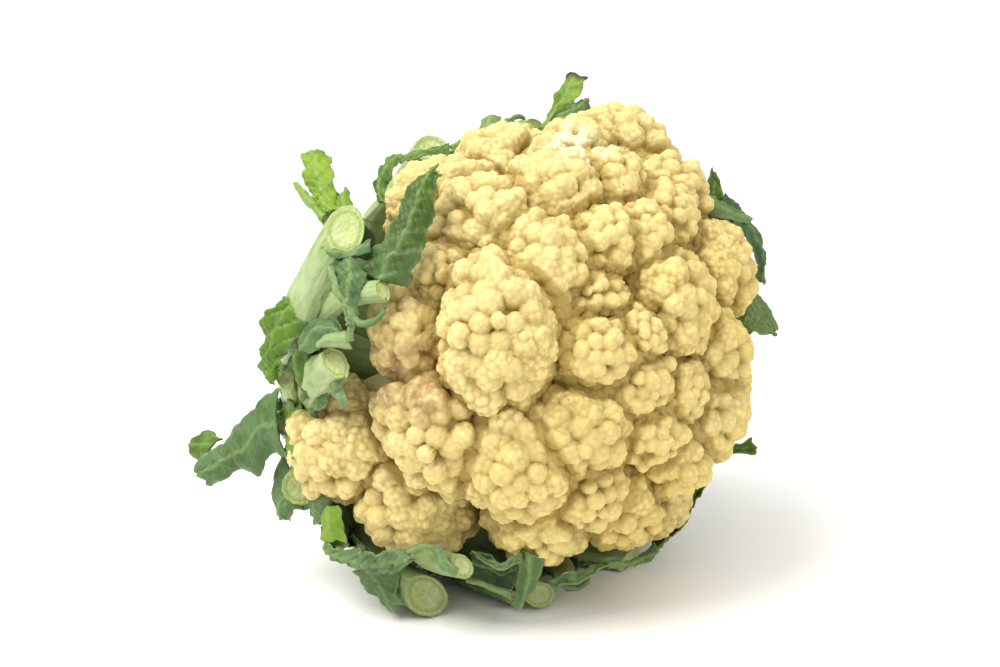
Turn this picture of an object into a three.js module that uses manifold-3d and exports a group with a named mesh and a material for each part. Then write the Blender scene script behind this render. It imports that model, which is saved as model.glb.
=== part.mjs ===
// A trimmed cauliflower head lying on its side, in millimetres, +Z up, resting on z = 0.
// The origin is the middle of the underside of its box, and the crown faces -Y, tilted up.
//
// Everything is laid out in the head's own frame: the centre of the curd is the origin, +Z is the
// crown, and a place is given as [polar angle, azimuth, distance], in degrees and millimetres.
import * as THREE from 'three';
import { mergeVertices } from 'three/addons/utils/BufferGeometryUtils.js';
import Module from 'manifold-3d';

const wasm = await Module();
wasm.setup();

const crownTilt = 23; // the crown looks this far above the horizon
const restHeight = 75; // centre of the head above the surface that it lies on
const gap = 0.3; // clear space between neighbouring pieces
const sliver = 0.1; // facets finer than this are smoothed away after a cut
const stumpRadius = 20;
const stumpEnd = 60; // cut face of the stump, behind the centre of the head
const coreRadius = 24; // widest part of the core, inside the curd
const coreTop = 20;
const floretFullness = 1.3; // how far a floret's ball swells past its own share of the surface
const stalkRadius = 7; // a floret's stalk where it leaves the core
const bellyAt = 0.52; // how far along a leaf stalk it is widest
const bladeThickness = 1.8;
const stalkSides = 8;
const stalkSteps = 6;

const curdPaint = { color: 0xe9d596, roughness: 0.62 };
const stemPaint = { color: 0xdfe6bd, roughness: 0.5 };
const leafPaint = { color: 0x6f9a3c, roughness: 0.45 };

// [polar angle, azimuth, half width in degrees, reach of its top from the centre]
const florets = {
  crown: [3, 40, 14, 80],
  upper_front: [20, 93, 9, 79],
  upper_left_inner: [26, 120, 10, 79],
  left_inner_sunken: [24, 157, 10, 75],
  lower_left_inner: [27, 191, 11, 78],
  crown_left: [14, 196, 7, 77],
  lower_inner: [24, 228, 10, 77],
  lower_right_inner: [24, 266, 9, 77],
  right_inner: [26, 318, 12, 79],
  right_upper: [32, 12, 13, 82],
  upper_inner: [29, 58, 10, 79],
  upper_middle: [39, 82, 11, 79],
  top_scraped: [44, 106, 16, 79],
  top_front: [57, 78, 12, 79],
  top_bump: [62, 55, 13, 87],
  top_right: [45, 46, 12, 82],
  left_upper: [38, 143, 14, 80],
  left_large: [50, 170, 17, 84],
  left_sunken: [64, 151, 10, 76],
  top_left: [57, 130, 15, 79],
  top_left_rim: [76, 121, 16, 77],
  left_rim_browned: [75, 167, 12, 79],
  left_bulge: [75, 194, 16, 83],
  lower_left: [61, 214, 14, 82],
  left_low_bulge: [112, 192, 14, 89],
  lower_left_rim: [101, 212, 13, 83],
  lower_large: [44, 218, 15, 80],
  lower_middle: [56, 237, 11, 80],
  lower_rim: [70, 235, 13, 80],
  lower_right: [60, 258, 14, 80],
  lower_right_middle: [34, 250, 10, 78],
  right_lower: [45, 272, 12, 80],
  right_middle: [37, 294, 12, 81],
  far_lower: [76, 287, 18, 79],
  far_right: [66, 322, 21, 79],
  far_upper_right: [70, 2, 21, 78],
  far_top: [82, 84, 17, 74],
};

// A trimmed leaf: its stalk runs from the core out past the florets and ends in a cut face, and
// each blade is what the knife left of the leaf, a strip along its own line.
//   base: azimuth and height of the stalk's root on the core
//   path: the stalk's line after the root
//   girth: the stalk's [width, depth] at its root, at its belly and at the cut
//   blades: from (where on the stalk it starts, 0 to 1), path, half (half widths along it, the
//   first at its start) and lean (how far its face turns about its line, in degrees)
const leaves = {
  left_large_stub: {
    base: [154, -52],
    path: [
      [142, 161, 68], [122, 163, 77], [111, 160, 78], [100, 156, 82], [89, 150, 86], [82, 144, 89],
    ],
    girth: [[20, 11], [24, 12], [14, 13]],
    blades: [
      { from: 0.93, path: [[100, 128, 92], [104, 121, 101]], half: [3, 6, 6], lean: 10 },
    ],
  },
  left_crinkled: {
    base: [161, -34],
    path: [[135, 161, 56], [116, 160, 66], [100, 159, 77], [84, 157, 83], [73, 158, 85]],
    girth: [[15, 8], [13, 7], [7, 7]],
    blades: [
      { from: 0.75, path: [[84, 150, 86], [79, 146, 87]], half: [5, 6, 4], lean: 25 },
      { from: 0.75, path: [[87, 160, 84], [82, 167, 84]], half: [5, 5, 2], lean: 25 },
    ],
  },
  left_flap: {
    base: [138, -34],
    path: [[134, 139, 56], [114, 141, 70], [98, 144, 79], [86, 147, 82]],
    girth: [[18, 8], [22, 8], [8, 4]],
    blades: [
      { from: 0.94, path: [[76, 149, 84], [70, 143, 84], [68, 128, 84]], half: [6, 9, 9, 2], lean: 0 },
    ],
  },
  left_serrated: {
    base: [172, -54],
    path: [[142, 173, 70], [124, 174, 79], [113, 173, 82], [107, 171, 86]],
    girth: [[16, 8], [16, 8], [9, 6]],
    blades: [
      { from: 0.9, path: [[104, 164, 89], [100, 156, 94]], half: [6, 8, 4], lean: 20 },
    ],
  },
  left_pale_stub: {
    base: [178, -42],
    path: [[140, 178, 61], [122, 176, 73], [104, 173, 79], [88, 171, 84]],
    girth: [[18, 9], [20, 9], [12, 11]],
    blades: [
      { from: 0.86, path: [[93, 163, 86], [84, 163, 87]], half: [4, 5, 3], lean: 10 },
    ],
  },
  left_long_blade: {
    base: [189, -54],
    path: [[144, 188, 72], [130, 184, 82], [121, 181, 85]],
    girth: [[16, 8], [17, 8], [8, 6]],
    blades: [
      {
        from: 0.93,
        path: [[129, 183, 94], [131, 185, 106], [132, 186, 117]],
        half: [6, 9, 9, 6],
        lean: -60,
      },
    ],
  },
  lower_left_stub: {
    base: [203, -46],
    path: [[144, 202, 66], [134, 200, 78], [126, 198, 85], [119, 197, 89]],
    girth: [[16, 9], [19, 10], [12, 11]],
    blades: [
      { from: 0.85, path: [[124, 203, 97], [120, 202, 101]], half: [4, 6, 5], lean: 40 },
    ],
  },
  lower_left_flap: {
    base: [210, -36],
    path: [[138, 209, 60], [126, 205, 76], [118, 201, 84]],
    girth: [[13, 7], [14, 6], [6, 4]],
    blades: [
      { from: 0.92, path: [[111, 203, 90], [106, 208, 92]], half: [4, 6, 4], lean: 10 },
    ],
  },
  lower_left_wavy: {
    base: [219, -55],
    path: [[144, 217, 73], [126, 213, 86], [113, 208, 91]],
    girth: [[16, 8], [17, 7], [7, 4]],
    blades: [
      {
        from: 0.92,
        path: [[106, 212, 95], [101, 216, 95], [94, 219, 92]],
        half: [4, 6, 6, 5],
        lean: 20,
      },
    ],
  },
  bottom_large_stub: {
    base: [234, -50],
    path: [[142, 233, 68], [124, 229, 82], [112, 228, 87], [99, 228, 91]],
    girth: [[22, 11], [25, 12], [17, 14]],
    blades: [
      { from: 0.7, path: [[110, 220, 97], [102, 222, 98]], half: [4, 6, 4], lean: 10 },
    ],
  },
  bottom_small_stub: {
    base: [226, -36],
    path: [[134, 227, 57], [112, 225, 74], [96, 222, 82], [82, 222, 89]],
    girth: [[14, 8], [15, 7], [9, 8]],
    blades: [
      { from: 0.9, path: [[86, 217, 88], [89, 213, 88]], half: [3, 4, 3], lean: 60 },
    ],
  },
  bottom_cupped: {
    base: [244, -40],
    path: [[138, 245, 60], [116, 245, 76], [100, 244, 81], [90, 244, 85]],
    girth: [[17, 9], [20, 8], [7, 5]],
    blades: [
      { from: 0.85, path: [[88, 236, 86], [83, 231, 84], [79, 229, 82]], half: [6, 8, 6, 3], lean: 30 },
    ],
  },
  bottom_stub: {
    base: [258, -54],
    path: [[144, 258, 67], [122, 257, 73], [106, 254, 74], [86, 248, 84]],
    girth: [[17, 9], [20, 9], [11, 9]],
    blades: [],
  },
  bottom_ribbon: {
    base: [264, -38],
    path: [[132, 264, 50], [108, 263, 63], [92, 260, 73], [80, 252, 80]],
    girth: [[14, 7], [16, 7], [6, 4]],
    blades: [
      { from: 0.95, path: [[76, 246, 84], [77, 241, 86]], half: [4, 5, 3], lean: 20 },
      { from: 0.95, path: [[71, 257, 82], [67, 268, 82]], half: [4, 5, 3], lean: 20 },
    ],
  },
  bottom_resting: {
    base: [279, -50],
    path: [[142, 279, 65], [122, 278, 73], [104, 278, 73], [88, 281, 81]],
    girth: [[20, 10], [26, 9], [14, 7]],
    blades: [
      { from: 0.95, path: [[77, 284, 82], [67, 286, 81]], half: [7, 8, 3], lean: 0 },
    ],
  },
  right_low_resting: {
    base: [301, -52],
    path: [[142, 301, 67], [120, 302, 80], [102, 302, 83], [89, 304, 81]],
    girth: [[20, 10], [32, 9], [15, 8]],
    blades: [
      { from: 0.95, path: [[72, 308, 86], [60, 309, 85]], half: [8, 11, 3], lean: 0 },
    ],
  },
  right_torn: {
    base: [325, -46],
    path: [[142, 326, 64], [122, 329, 77], [104, 332, 83], [90, 335, 85]],
    girth: [[20, 10], [32, 9], [13, 7]],
    blades: [
      { from: 0.95, path: [[74, 341, 85], [57, 345, 86]], half: [7, 14, 3], lean: 0 },
    ],
  },
  right_upper_blade: {
    base: [350, -54],
    path: [[142, 352, 71], [122, 356, 84], [104, 3, 87], [90, 8, 88]],
    girth: [[22, 10], [36, 9], [12, 7]],
    blades: [
      { from: 0.95, path: [[74, 12, 87], [60, 18, 88]], half: [8, 20, 12], lean: 0 },
    ],
  },
  far_stub: {
    base: [20, -46],
    path: [[142, 22, 62], [122, 27, 76], [104, 32, 82], [88, 36, 83]],
    girth: [[20, 11], [34, 11], [14, 12]],
    blades: [],
  },
  top_bright_blade: {
    base: [52, -54],
    path: [[142, 56, 70], [122, 60, 83], [104, 62, 82], [92, 62, 79]],
    girth: [[20, 10], [30, 9], [9, 6]],
    blades: [
      { from: 0.95, path: [[84, 60, 88], [82, 58, 102]], half: [6, 7, 5], lean: 0 },
    ],
  },
  top_stub: {
    base: [88, -46],
    path: [[138, 74, 66], [122, 73, 75], [107, 72, 73], [91, 74, 69], [80, 77, 70]],
    girth: [[20, 10], [28, 10], [10, 10]],
    blades: [
      { from: 0.9, path: [[84, 88, 78], [70, 93, 78]], half: [6, 8, 4], lean: 0 },
    ],
  },
  top_left_stub: {
    base: [120, -52],
    path: [[146, 97, 69], [131, 86, 72], [117, 88, 71], [101, 92, 73]],
    girth: [[22, 10], [30, 10], [13, 11]],
    blades: [
      {
        from: 0.8,
        path: [[108, 112, 78], [100, 122, 79], [95, 130, 79]],
        half: [4, 6, 6, 4],
        lean: 10,
      },
    ],
  },
};

const toRadians = THREE.MathUtils.degToRad;

// A point of the head's frame from its polar angle, azimuth and distance.
function place([polar, azimuth, distance]) {
  const [down, round] = [toRadians(polar), toRadians(azimuth)];
  return new THREE.Vector3(
    Math.sin(down) * Math.cos(round), Math.sin(down) * Math.sin(round), Math.cos(down),
  ).multiplyScalar(distance);
}

function toSolid(geometry) {
  geometry.deleteAttribute('normal');
  geometry.deleteAttribute('uv');
  const merged = mergeVertices(geometry, 1e-4);
  return new wasm.Manifold(new wasm.Mesh({
    numProp: 3,
    vertProperties: new Float32Array(merged.attributes.position.array),
    triVerts: new Uint32Array(merged.index.array),
  }));
}

function toGeometry(solid) {
  const { vertProperties, triVerts } = solid.getMesh();
  const geometry = new THREE.BufferGeometry();
  geometry.setAttribute('position', new THREE.BufferAttribute(vertProperties, 3));
  geometry.setIndex(new THREE.BufferAttribute(triVerts, 1));
  return geometry;
}

// The biggest body of a solid that a cut may have left in several, without its slivers.
function largest(solid) {
  const bodies = solid.asOriginal().simplify(sliver).decompose();
  return bodies.reduce((best, body) => (body.volume() > best.volume() ? body : best));
}

// The core: a round lump inside the curd, drawn in to the stump, cut square at the back.
function makeCore(grow) {
  const end = -stumpEnd - grow;
  const profile = [
    [0, end], [stumpRadius - 2 + grow, end], [stumpRadius + grow, end + 3],
    [stumpRadius + grow, -40], [coreRadius + grow, -12], [coreRadius - 1 + grow, 4],
    [coreRadius * 0.7 + grow, coreTop * 0.75], [coreRadius * 0.35 + grow, coreTop],
    [0, coreTop + 2 + grow],
  ].map(([radius, height]) => new THREE.Vector2(radius, height));
  const geometry = new THREE.LatheGeometry(profile, 20);
  geometry.rotateX(Math.PI / 2); // the profile's axis is the head's axis
  return toSolid(geometry);
}

// Each floret's axis, and the distance and radius of the ball that its curd fills.
function listFlorets() {
  return Object.entries(florets).map(([name, [polar, azimuth, half, reach]]) => {
    const spread = Math.sin(toRadians(half * floretFullness));
    const centre = reach / (1 + spread);
    return { name, half, axis: place([polar, azimuth, 1]), centre, radius: centre * spread };
  });
}

// A floret's ball on its tapering stalk, turned along +Y from the centre of the head.
function makeTeardrop({ centre, radius }, grow) {
  const profile = [[0, 4], [stalkRadius + grow, 8]];
  const arcSteps = 5;
  const foot = -0.9; // the stalk meets the ball this far below its middle, in radians
  for (let k = 0; k <= arcSteps; k += 1) {
    const turn = foot + (Math.PI / 2 - foot) * (k / arcSteps);
    const ball = radius + grow;
    profile.push([k === arcSteps ? 0 : ball * Math.cos(turn), centre + ball * Math.sin(turn)]);
  }
  return new THREE.LatheGeometry(profile.map(([x, y]) => new THREE.Vector2(x, y)), 12);
}

// Each floret keeps to its own share of the head: flat cuts through the centre of the head part it
// from its neighbours, nearer to the smaller one.
function makeFloret(floret, all, grow) {
  const geometry = makeTeardrop(floret, grow);
  const turn = new THREE.Quaternion().setFromUnitVectors(new THREE.Vector3(0, 1, 0), floret.axis);
  geometry.applyQuaternion(turn);
  let solid = toSolid(geometry);
  for (const other of all) {
    const apart = THREE.MathUtils.radToDeg(floret.axis.angleTo(other.axis));
    if (other !== floret && apart < 80) {
      const wall = floret.axis.clone().divideScalar(Math.cos(toRadians(floret.half)))
        .sub(other.axis.clone().divideScalar(Math.cos(toRadians(other.half))))
        .normalize();
      solid = solid.trimByPlane([wall.x, wall.y, wall.z], gap / 2 - grow);
    }
  }
  return solid;
}

function curveThrough(points) {
  return new THREE.CatmullRomCurve3(points, false, 'centripetal');
}

// The three directions at a point of a line on the head: along it, across it, and away from the head.
function frameAt(curve, t) {
  const point = curve.getPointAt(t);
  const along = curve.getTangentAt(t);
  const out = point.clone().addScaledVector(along, -point.dot(along)).normalize();
  const across = new THREE.Vector3().crossVectors(along, out);
  return { point, along, across, out };
}

function reshape(geometry, move) {
  const position = geometry.attributes.position;
  const vertex = new THREE.Vector3();
  for (let i = 0; i < position.count; i += 1) {
    vertex.fromBufferAttribute(position, i);
    const moved = move(vertex);
    position.setXYZ(i, moved.x, moved.y, moved.z);
  }
  return geometry;
}

// The line of a leaf's stalk, from its root inside the core to its cut end.
function stalkLine(leaf) {
  const [azimuth, height] = leaf.base;
  const inside = stumpRadius - 4;
  const root = new THREE.Vector3(
    inside * Math.cos(toRadians(azimuth)), inside * Math.sin(toRadians(azimuth)), height,
  );
  return curveThrough([root, ...leaf.path.map(place)]);
}

// Width and depth along a stalk: from the root to the belly, and on to the cut.
function girthAt([root, belly, cut], t) {
  const from = t < bellyAt ? root : belly;
  const to = t < bellyAt ? belly : cut;
  const share = t < bellyAt ? t / bellyAt : (t - bellyAt) / (1 - bellyAt);
  const ease = THREE.MathUtils.smoothstep(share, 0, 1);
  return from.map((value, k) => THREE.MathUtils.lerp(value, to[k], ease));
}

// A leaf stalk: an oval rod that follows its line, wide and flat at the core, rounder at the cut.
function makeStalk(leaf, grow) {
  const curve = stalkLine(leaf);
  const rod = new THREE.CylinderGeometry(1, 1, 1, stalkSides, stalkSteps);
  return toSolid(reshape(rod, (v) => {
    const t = v.y + 0.5;
    const { point, along, across, out } = frameAt(curve, t);
    const [width, depth] = girthAt(leaf.girth, t);
    const halfWidth = width / 2 + grow;
    const halfDepth = depth / 2 + grow;
    const overrun = t > 0.999 ? grow : 0;
    return point.addScaledVector(across, v.x * halfWidth).addScaledVector(out, v.z * halfDepth)
      .addScaledVector(along, overrun);
  }));
}

// A blade: a thin strip along its line, its two margins a little raised.
function makeBlade(leaf, blade, grow) {
  const curve = curveThrough([stalkLine(leaf).getPointAt(blade.from), ...blade.path.map(place)]);
  const sheet = new THREE.BoxGeometry(1, 1, 1, 6, 4, 1);
  return toSolid(reshape(sheet, (v) => {
    const t = v.x + 0.5;
    const { point, along, across, out } = frameAt(curve, t);
    const stretch = t * (blade.half.length - 1);
    const k = Math.min(Math.floor(stretch), blade.half.length - 2);
    const half = THREE.MathUtils.lerp(blade.half[k], blade.half[k + 1], stretch - k) + grow;
    const lean = toRadians(blade.lean);
    const side = across.clone().multiplyScalar(Math.cos(lean)).addScaledVector(out, Math.sin(lean));
    const face = out.clone().multiplyScalar(Math.cos(lean)).addScaledVector(across, -Math.sin(lean));
    const raise = 0.12 * half * (2 * v.y) ** 2;
    const end = Math.sign(v.x) * (Math.abs(v.x) > 0.499 ? grow : 0);
    return point.addScaledVector(side, -2 * v.y * half)
      .addScaledVector(face, v.z * (bladeThickness + 2 * grow) + raise)
      .addScaledVector(along, end);
  }));
}

function makeLeaf(leaf, grow) {
  return leaf.blades.reduce(
    (solid, blade) => solid.add(makeBlade(leaf, blade, grow)),
    makeStalk(leaf, grow),
  );
}

// The surface the head lies on, as a block below it in the head's frame.
function makeGround() {
  const side = 600;
  const geometry = new THREE.BoxGeometry(side, side, side);
  geometry.translate(0, 0, -restHeight - side / 2);
  geometry.rotateX(-toRadians(90 - crownTilt));
  return toSolid(geometry);
}

const head = new THREE.Group();
head.rotation.x = toRadians(90 - crownTilt);

function addPiece(name, solid, { color, roughness }) {
  const material = new THREE.MeshStandardMaterial({ color, roughness, metalness: 0 });
  const mesh = new THREE.Mesh(toGeometry(solid), material);
  mesh.name = name;
  head.add(mesh);
}

const ground = makeGround();
const grownCore = makeCore(gap);
addPiece('stem', makeCore(0), stemPaint);

const floretList = listFlorets();
const grownFlorets = [];
for (const floret of floretList) {
  const solid = largest(makeFloret(floret, floretList, 0).subtract(grownCore).subtract(ground));
  grownFlorets.push(makeFloret(floret, floretList, gap));
  addPiece(`floret_${floret.name}`, solid, curdPaint);
}

// Leaves that come later give way to the florets and to the leaves before them.
const taken = [grownCore, ...grownFlorets];
for (const [name, leaf] of Object.entries(leaves)) {
  let solid = makeLeaf(leaf, 0).subtract(ground);
  for (const neighbour of taken) {
    solid = solid.subtract(neighbour);
  }
  taken.push(makeLeaf(leaf, gap));
  addPiece(`leaf_${name}`, largest(solid), leafPaint);
}

const cauliflower = new THREE.Group();
cauliflower.add(head);
cauliflower.updateMatrixWorld(true);
const box = new THREE.Box3().setFromObject(cauliflower, true);
head.position.set(-(box.min.x + box.max.x) / 2, -(box.min.y + box.max.y) / 2, restHeight);

export default cauliflower;
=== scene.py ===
import math
import bpy
import numpy as np
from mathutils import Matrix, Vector


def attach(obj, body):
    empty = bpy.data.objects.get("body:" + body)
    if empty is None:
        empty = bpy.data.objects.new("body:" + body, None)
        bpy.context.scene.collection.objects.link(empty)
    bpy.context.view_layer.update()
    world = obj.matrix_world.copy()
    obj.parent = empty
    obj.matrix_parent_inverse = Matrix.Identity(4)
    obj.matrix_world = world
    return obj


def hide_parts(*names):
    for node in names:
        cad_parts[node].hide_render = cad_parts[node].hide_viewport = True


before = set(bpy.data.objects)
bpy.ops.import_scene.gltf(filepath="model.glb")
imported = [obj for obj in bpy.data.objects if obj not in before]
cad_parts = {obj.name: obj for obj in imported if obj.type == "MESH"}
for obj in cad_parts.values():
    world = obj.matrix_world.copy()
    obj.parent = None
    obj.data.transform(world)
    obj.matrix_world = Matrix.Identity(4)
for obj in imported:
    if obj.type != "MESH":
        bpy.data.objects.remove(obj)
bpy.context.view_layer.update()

print("frame loaded:", len(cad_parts), "nodes")

# The head lies on its side: its crown points to the front and a little up.
# Lengths are metres; the lists in millimetres are turned by this factor.
mm = 0.001
head = {"tilt": 23, "stumpEnd": 60 * mm}


def nodePoints(name):
    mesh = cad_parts[name].data
    flat = np.empty(len(mesh.vertices) * 3, dtype=np.float32)
    mesh.vertices.foreach_get("co", flat)
    return flat.reshape(-1, 3).astype(float)


tilt = math.radians(head["tilt"])
crownDir = np.array((0.0, -math.cos(tilt), math.sin(tilt)))
rightDir = np.array((1.0, 0.0, 0.0))
topDir = np.array((0.0, math.sin(tilt), math.cos(tilt)))
stump = nodePoints("stem")
reach = stump @ crownDir
headCentre = stump[reach < reach.min() + 0.5 * mm].mean(0) + head["stumpEnd"] * crownDir


# A direction on the head: theta from the crown, phi round it, in degrees.
def headDir(theta, phi):
    t, p = math.radians(theta), math.radians(phi)
    return (math.sin(t) * math.cos(p) * rightDir + math.sin(t) * math.sin(p) * topDir
            + math.cos(t) * crownDir)


def headPoint(theta, phi, far):
    return headCentre + headDir(theta, phi) * far * mm


# Puts a camera or lamp round the head's middle, facing it: degrees, and metres away.
def aimAtHead(name, data, azimuth, elevation, distance):
    az, el = math.radians(azimuth), math.radians(elevation)
    back = Vector((math.sin(az) * math.cos(el), -math.cos(az) * math.cos(el), math.sin(el)))
    thing = bpy.data.objects.new(name, data)
    thing.location = Vector(headCentre) + back * distance
    thing.rotation_euler = (-back).to_track_quat("-Z", "Y").to_euler()
    bpy.context.scene.collection.objects.link(thing)
    return thing


# The camera: a long lens, low and to the left of the crown's axis.
shot = {"azimuth": -47, "elevation": 18, "distance": 0.85, "lens": 91.8,
        "shift": (-0.025, 0.0115)}


def makeCamera():
    data = bpy.data.cameras.new("camera")
    data.lens = shot["lens"]
    data.sensor_width = 36
    data.shift_x, data.shift_y = shot["shift"]
    data.clip_start, data.clip_end = 0.01, 50
    bpy.context.scene.camera = aimAtHead("camera", data, shot["azimuth"], shot["elevation"],
                                         shot["distance"])


makeCamera()
print("camera set")

# A white floor that fills the view, an even sky and soft lamps.
studio = {
    "floorSize": 8.0,
    "floorColor": (0.96, 0.958, 0.952),
    "floorRoughness": 0.38,
    "floorSpecular": 0.3,
    "sky": (1.0, 0.995, 0.985),
    "skyStrength": 0.59,
    # name: azimuth, elevation, distance, size, watts, colour
    "lamps": {
        "key": (-120, 56, 1.6, 1.5, 36, (1.0, 0.98, 0.94)),
        "front": (0, 34, 2.0, 1.2, 12, (1.0, 0.985, 0.96)),
        "top": (20, 80, 2.2, 2.6, 18, (1.0, 0.995, 0.985)),
    },
}


def makeStudio():
    half = studio["floorSize"] / 2
    mesh = bpy.data.meshes.new("floor")
    mesh.from_pydata([(-half, -half, 0), (half, -half, 0), (half, half, 0), (-half, half, 0)],
                     [], [(0, 1, 2, 3)])
    floor = bpy.data.objects.new("floor", mesh)
    bpy.context.scene.collection.objects.link(floor)
    paint = bpy.data.materials.new("floor_white")
    paint.use_nodes = True
    shader = paint.node_tree.nodes["Principled BSDF"]
    shader.inputs["Base Color"].default_value = (*studio["floorColor"], 1)
    shader.inputs["Roughness"].default_value = studio["floorRoughness"]
    shader.inputs["Specular IOR Level"].default_value = studio["floorSpecular"]
    mesh.materials.append(paint)
    world = bpy.data.worlds.new("studio")
    world.use_nodes = True
    sky = world.node_tree.nodes["Background"]
    sky.inputs["Color"].default_value = (*studio["sky"], 1)
    sky.inputs["Strength"].default_value = studio["skyStrength"]
    bpy.context.scene.world = world
    for name, (azimuth, elevation, distance, size, watts, tint) in studio["lamps"].items():
        data = bpy.data.lights.new(name, "AREA")
        data.shape = "DISK"
        data.size = size
        data.energy = watts
        data.color = tint
        aimAtHead(name, data, azimuth, elevation, distance)
    bpy.context.scene.view_settings.view_transform = "Standard"


makeStudio()
print("studio set")


def unit(v):
    return v / np.linalg.norm(v, axis=-1, keepdims=True)


def sideways(axis):
    lead = np.array((0.0, 0.0, 1.0)) if abs(axis[2]) < 0.8 else np.array((1.0, 0.0, 0.0))
    across = unit(np.cross(lead, axis))
    return across, np.cross(axis, across)


def smooth(x):
    x = np.clip(x, 0, 1)
    return x * x * (3 - 2 * x)


# One object from points and rows of corners (three or four a row), with its point attributes.
def makePiece(name, points, faces, material, marks=None, replaces=()):
    mesh = bpy.data.meshes.new(name)
    counts = np.concatenate([np.full(len(f), f.shape[1], dtype=np.int32) for f in faces])
    corners = np.concatenate([f.ravel() for f in faces]).astype(np.int32)
    mesh.vertices.add(len(points))
    mesh.vertices.foreach_set("co", np.asarray(points, dtype=np.float32).ravel())
    mesh.loops.add(len(corners))
    mesh.loops.foreach_set("vertex_index", corners)
    mesh.polygons.add(len(counts))
    starts = np.concatenate([[0], np.cumsum(counts)[:-1]]).astype(np.int32)
    mesh.polygons.foreach_set("loop_start", starts)
    mesh.update(calc_edges=True)
    mesh.polygons.foreach_set("use_smooth", np.ones(len(counts), dtype=bool))
    for mark, values in (marks or {}).items():
        layer = mesh.attributes.new(mark, "FLOAT", "POINT")
        layer.data.foreach_set("value", np.asarray(values, dtype=np.float32).ravel())
    mesh.materials.append(material)
    piece = bpy.data.objects.new(name, mesh)
    bpy.context.scene.collection.objects.link(piece)
    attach(piece, "root")
    if replaces:
        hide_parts(*replaces)
    return piece


# A disc of triangles in rings: ring k has 6k points. Gives ring, turn and the corners.
def discGrid(rings):
    first = [0] + [1 + 3 * k * (k - 1) for k in range(1, rings + 1)]
    ring = np.concatenate([[0]] + [np.full(6 * k, k) for k in range(1, rings + 1)])
    turn = np.concatenate([[0.0]] + [np.arange(6 * k) * math.tau / (6 * k)
                                     for k in range(1, rings + 1)])
    faces = []
    for k in range(1, rings + 1):
        j = np.arange(6 * k)
        sector, step = j // k, j % k
        inside = max(6 * (k - 1), 1)
        outer, outerNext = first[k] + j, first[k] + (j + 1) % (6 * k)
        inner = first[k - 1] + (sector * (k - 1) + step) % inside
        innerNext = first[k - 1] + (sector * (k - 1) + step + 1) % inside
        faces.append(np.stack((outer, outerNext, inner), 1))
        keep = step < k - 1
        faces.append(np.stack((outerNext, innerNext, inner), 1)[keep])
    return ring, turn, np.concatenate(faces)


# The curd: each floret is a ball of lobes, and each lobe is covered by buds.
curd = {
    "spacing": 0.45 * mm,       # between neighbouring mesh points
    "capAngle": 118,            # how far round its ball a floret is lobed
    "fadeAngle": 14,            # the lobes fade out over this, before the branch starts
    "waist": 0.80,              # the ball's share that is left there
    "widen": 0.07,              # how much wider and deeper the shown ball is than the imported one
    # Lobes, then buds. share and range: gap between neighbours, as a share of the ball and its
    # limits. size, spread: radius as a share of the gap, and how it varies. lift: how the tops
    # vary. power: above 0.5 the rim's are larger. cap: how far round. core: the ball beneath.
    "levels": [
        {"share": 0.42, "range": (4.2 * mm, 9.0 * mm), "size": 0.68, "spread": 0.17,
         "lift": 0.034, "power": 0.66, "cap": 114, "core": 0.82},
        {"share": 0.54, "range": (1.9 * mm, 2.8 * mm), "size": 0.73, "spread": 0.15,
         "lift": 0.030, "power": 0.58, "cap": 105, "core": 0.91},
    ],
    # florets shown fuller than they are packed, where the curd closes over a gap
    "fuller": {"lower_rim": 1.10, "lower_left": 1.10, "lower_left_rim": 1.10,
               "lower_middle": 1.08, "left_large": 1.04},
    "stretch": 0.09,            # florets are a little longer one way than the other
    "upright": {"left_large": 0.15},    # these are longest upwards, by this much
    "seamWidth": 2.6 * mm,      # the strip of painted shade beside a neighbouring floret
    "seamDepth": 1.3 * mm,      # how far the curd sinks towards it
    "plump": 0.05,              # makes up for the valleys between the lobes
    "lobeRelief": 0.17,         # valley that counts as a full hollow, as a share of the ball
    "budRelief": 0.8 * mm,
    "lobeLean": 0.35,           # how far a lobe's buds crowd towards the floret's tip
    "youngTip": 0.35,           # how much younger the lobes at the tip are
    "goldenTurn": 137.508,      # degrees from one lobe of the spiral to the next
    # spots: theta, phi, reach, radius in mm, strength
    "browned": [(80, 172, 77, 9, 1.0), (77, 180, 77, 9, 1.0), (86, 177, 78, 7, 1.0),
                (69, 183, 80, 8, 0.9), (70, 174, 78, 7, 0.8), (7, 71, 78, 3, 0.6)],
    "scraped": [(48, 93, 78, 9, 1.0), (51, 90, 78, 8, 1.0)],
    "branchRadius": 12.5 * mm,  # of the branch that a floret grows from
    "branchShare": 0.66,        # and at most this much of its ball
    "branchSteps": 7,
    "branchEnd": 20 * mm,       # from the middle of the head
    "seed": 7,
}


# Where rays from the middle leave a set of balls: rows are rays, columns are balls.
def leave(rays, centres, radii):
    along = rays @ centres.T
    inside = along ** 2 + radii ** 2 - (centres ** 2).sum(1)
    return np.where((inside > 0) & (along > 0), along + np.sqrt(np.maximum(inside, 0)), 0)


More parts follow.
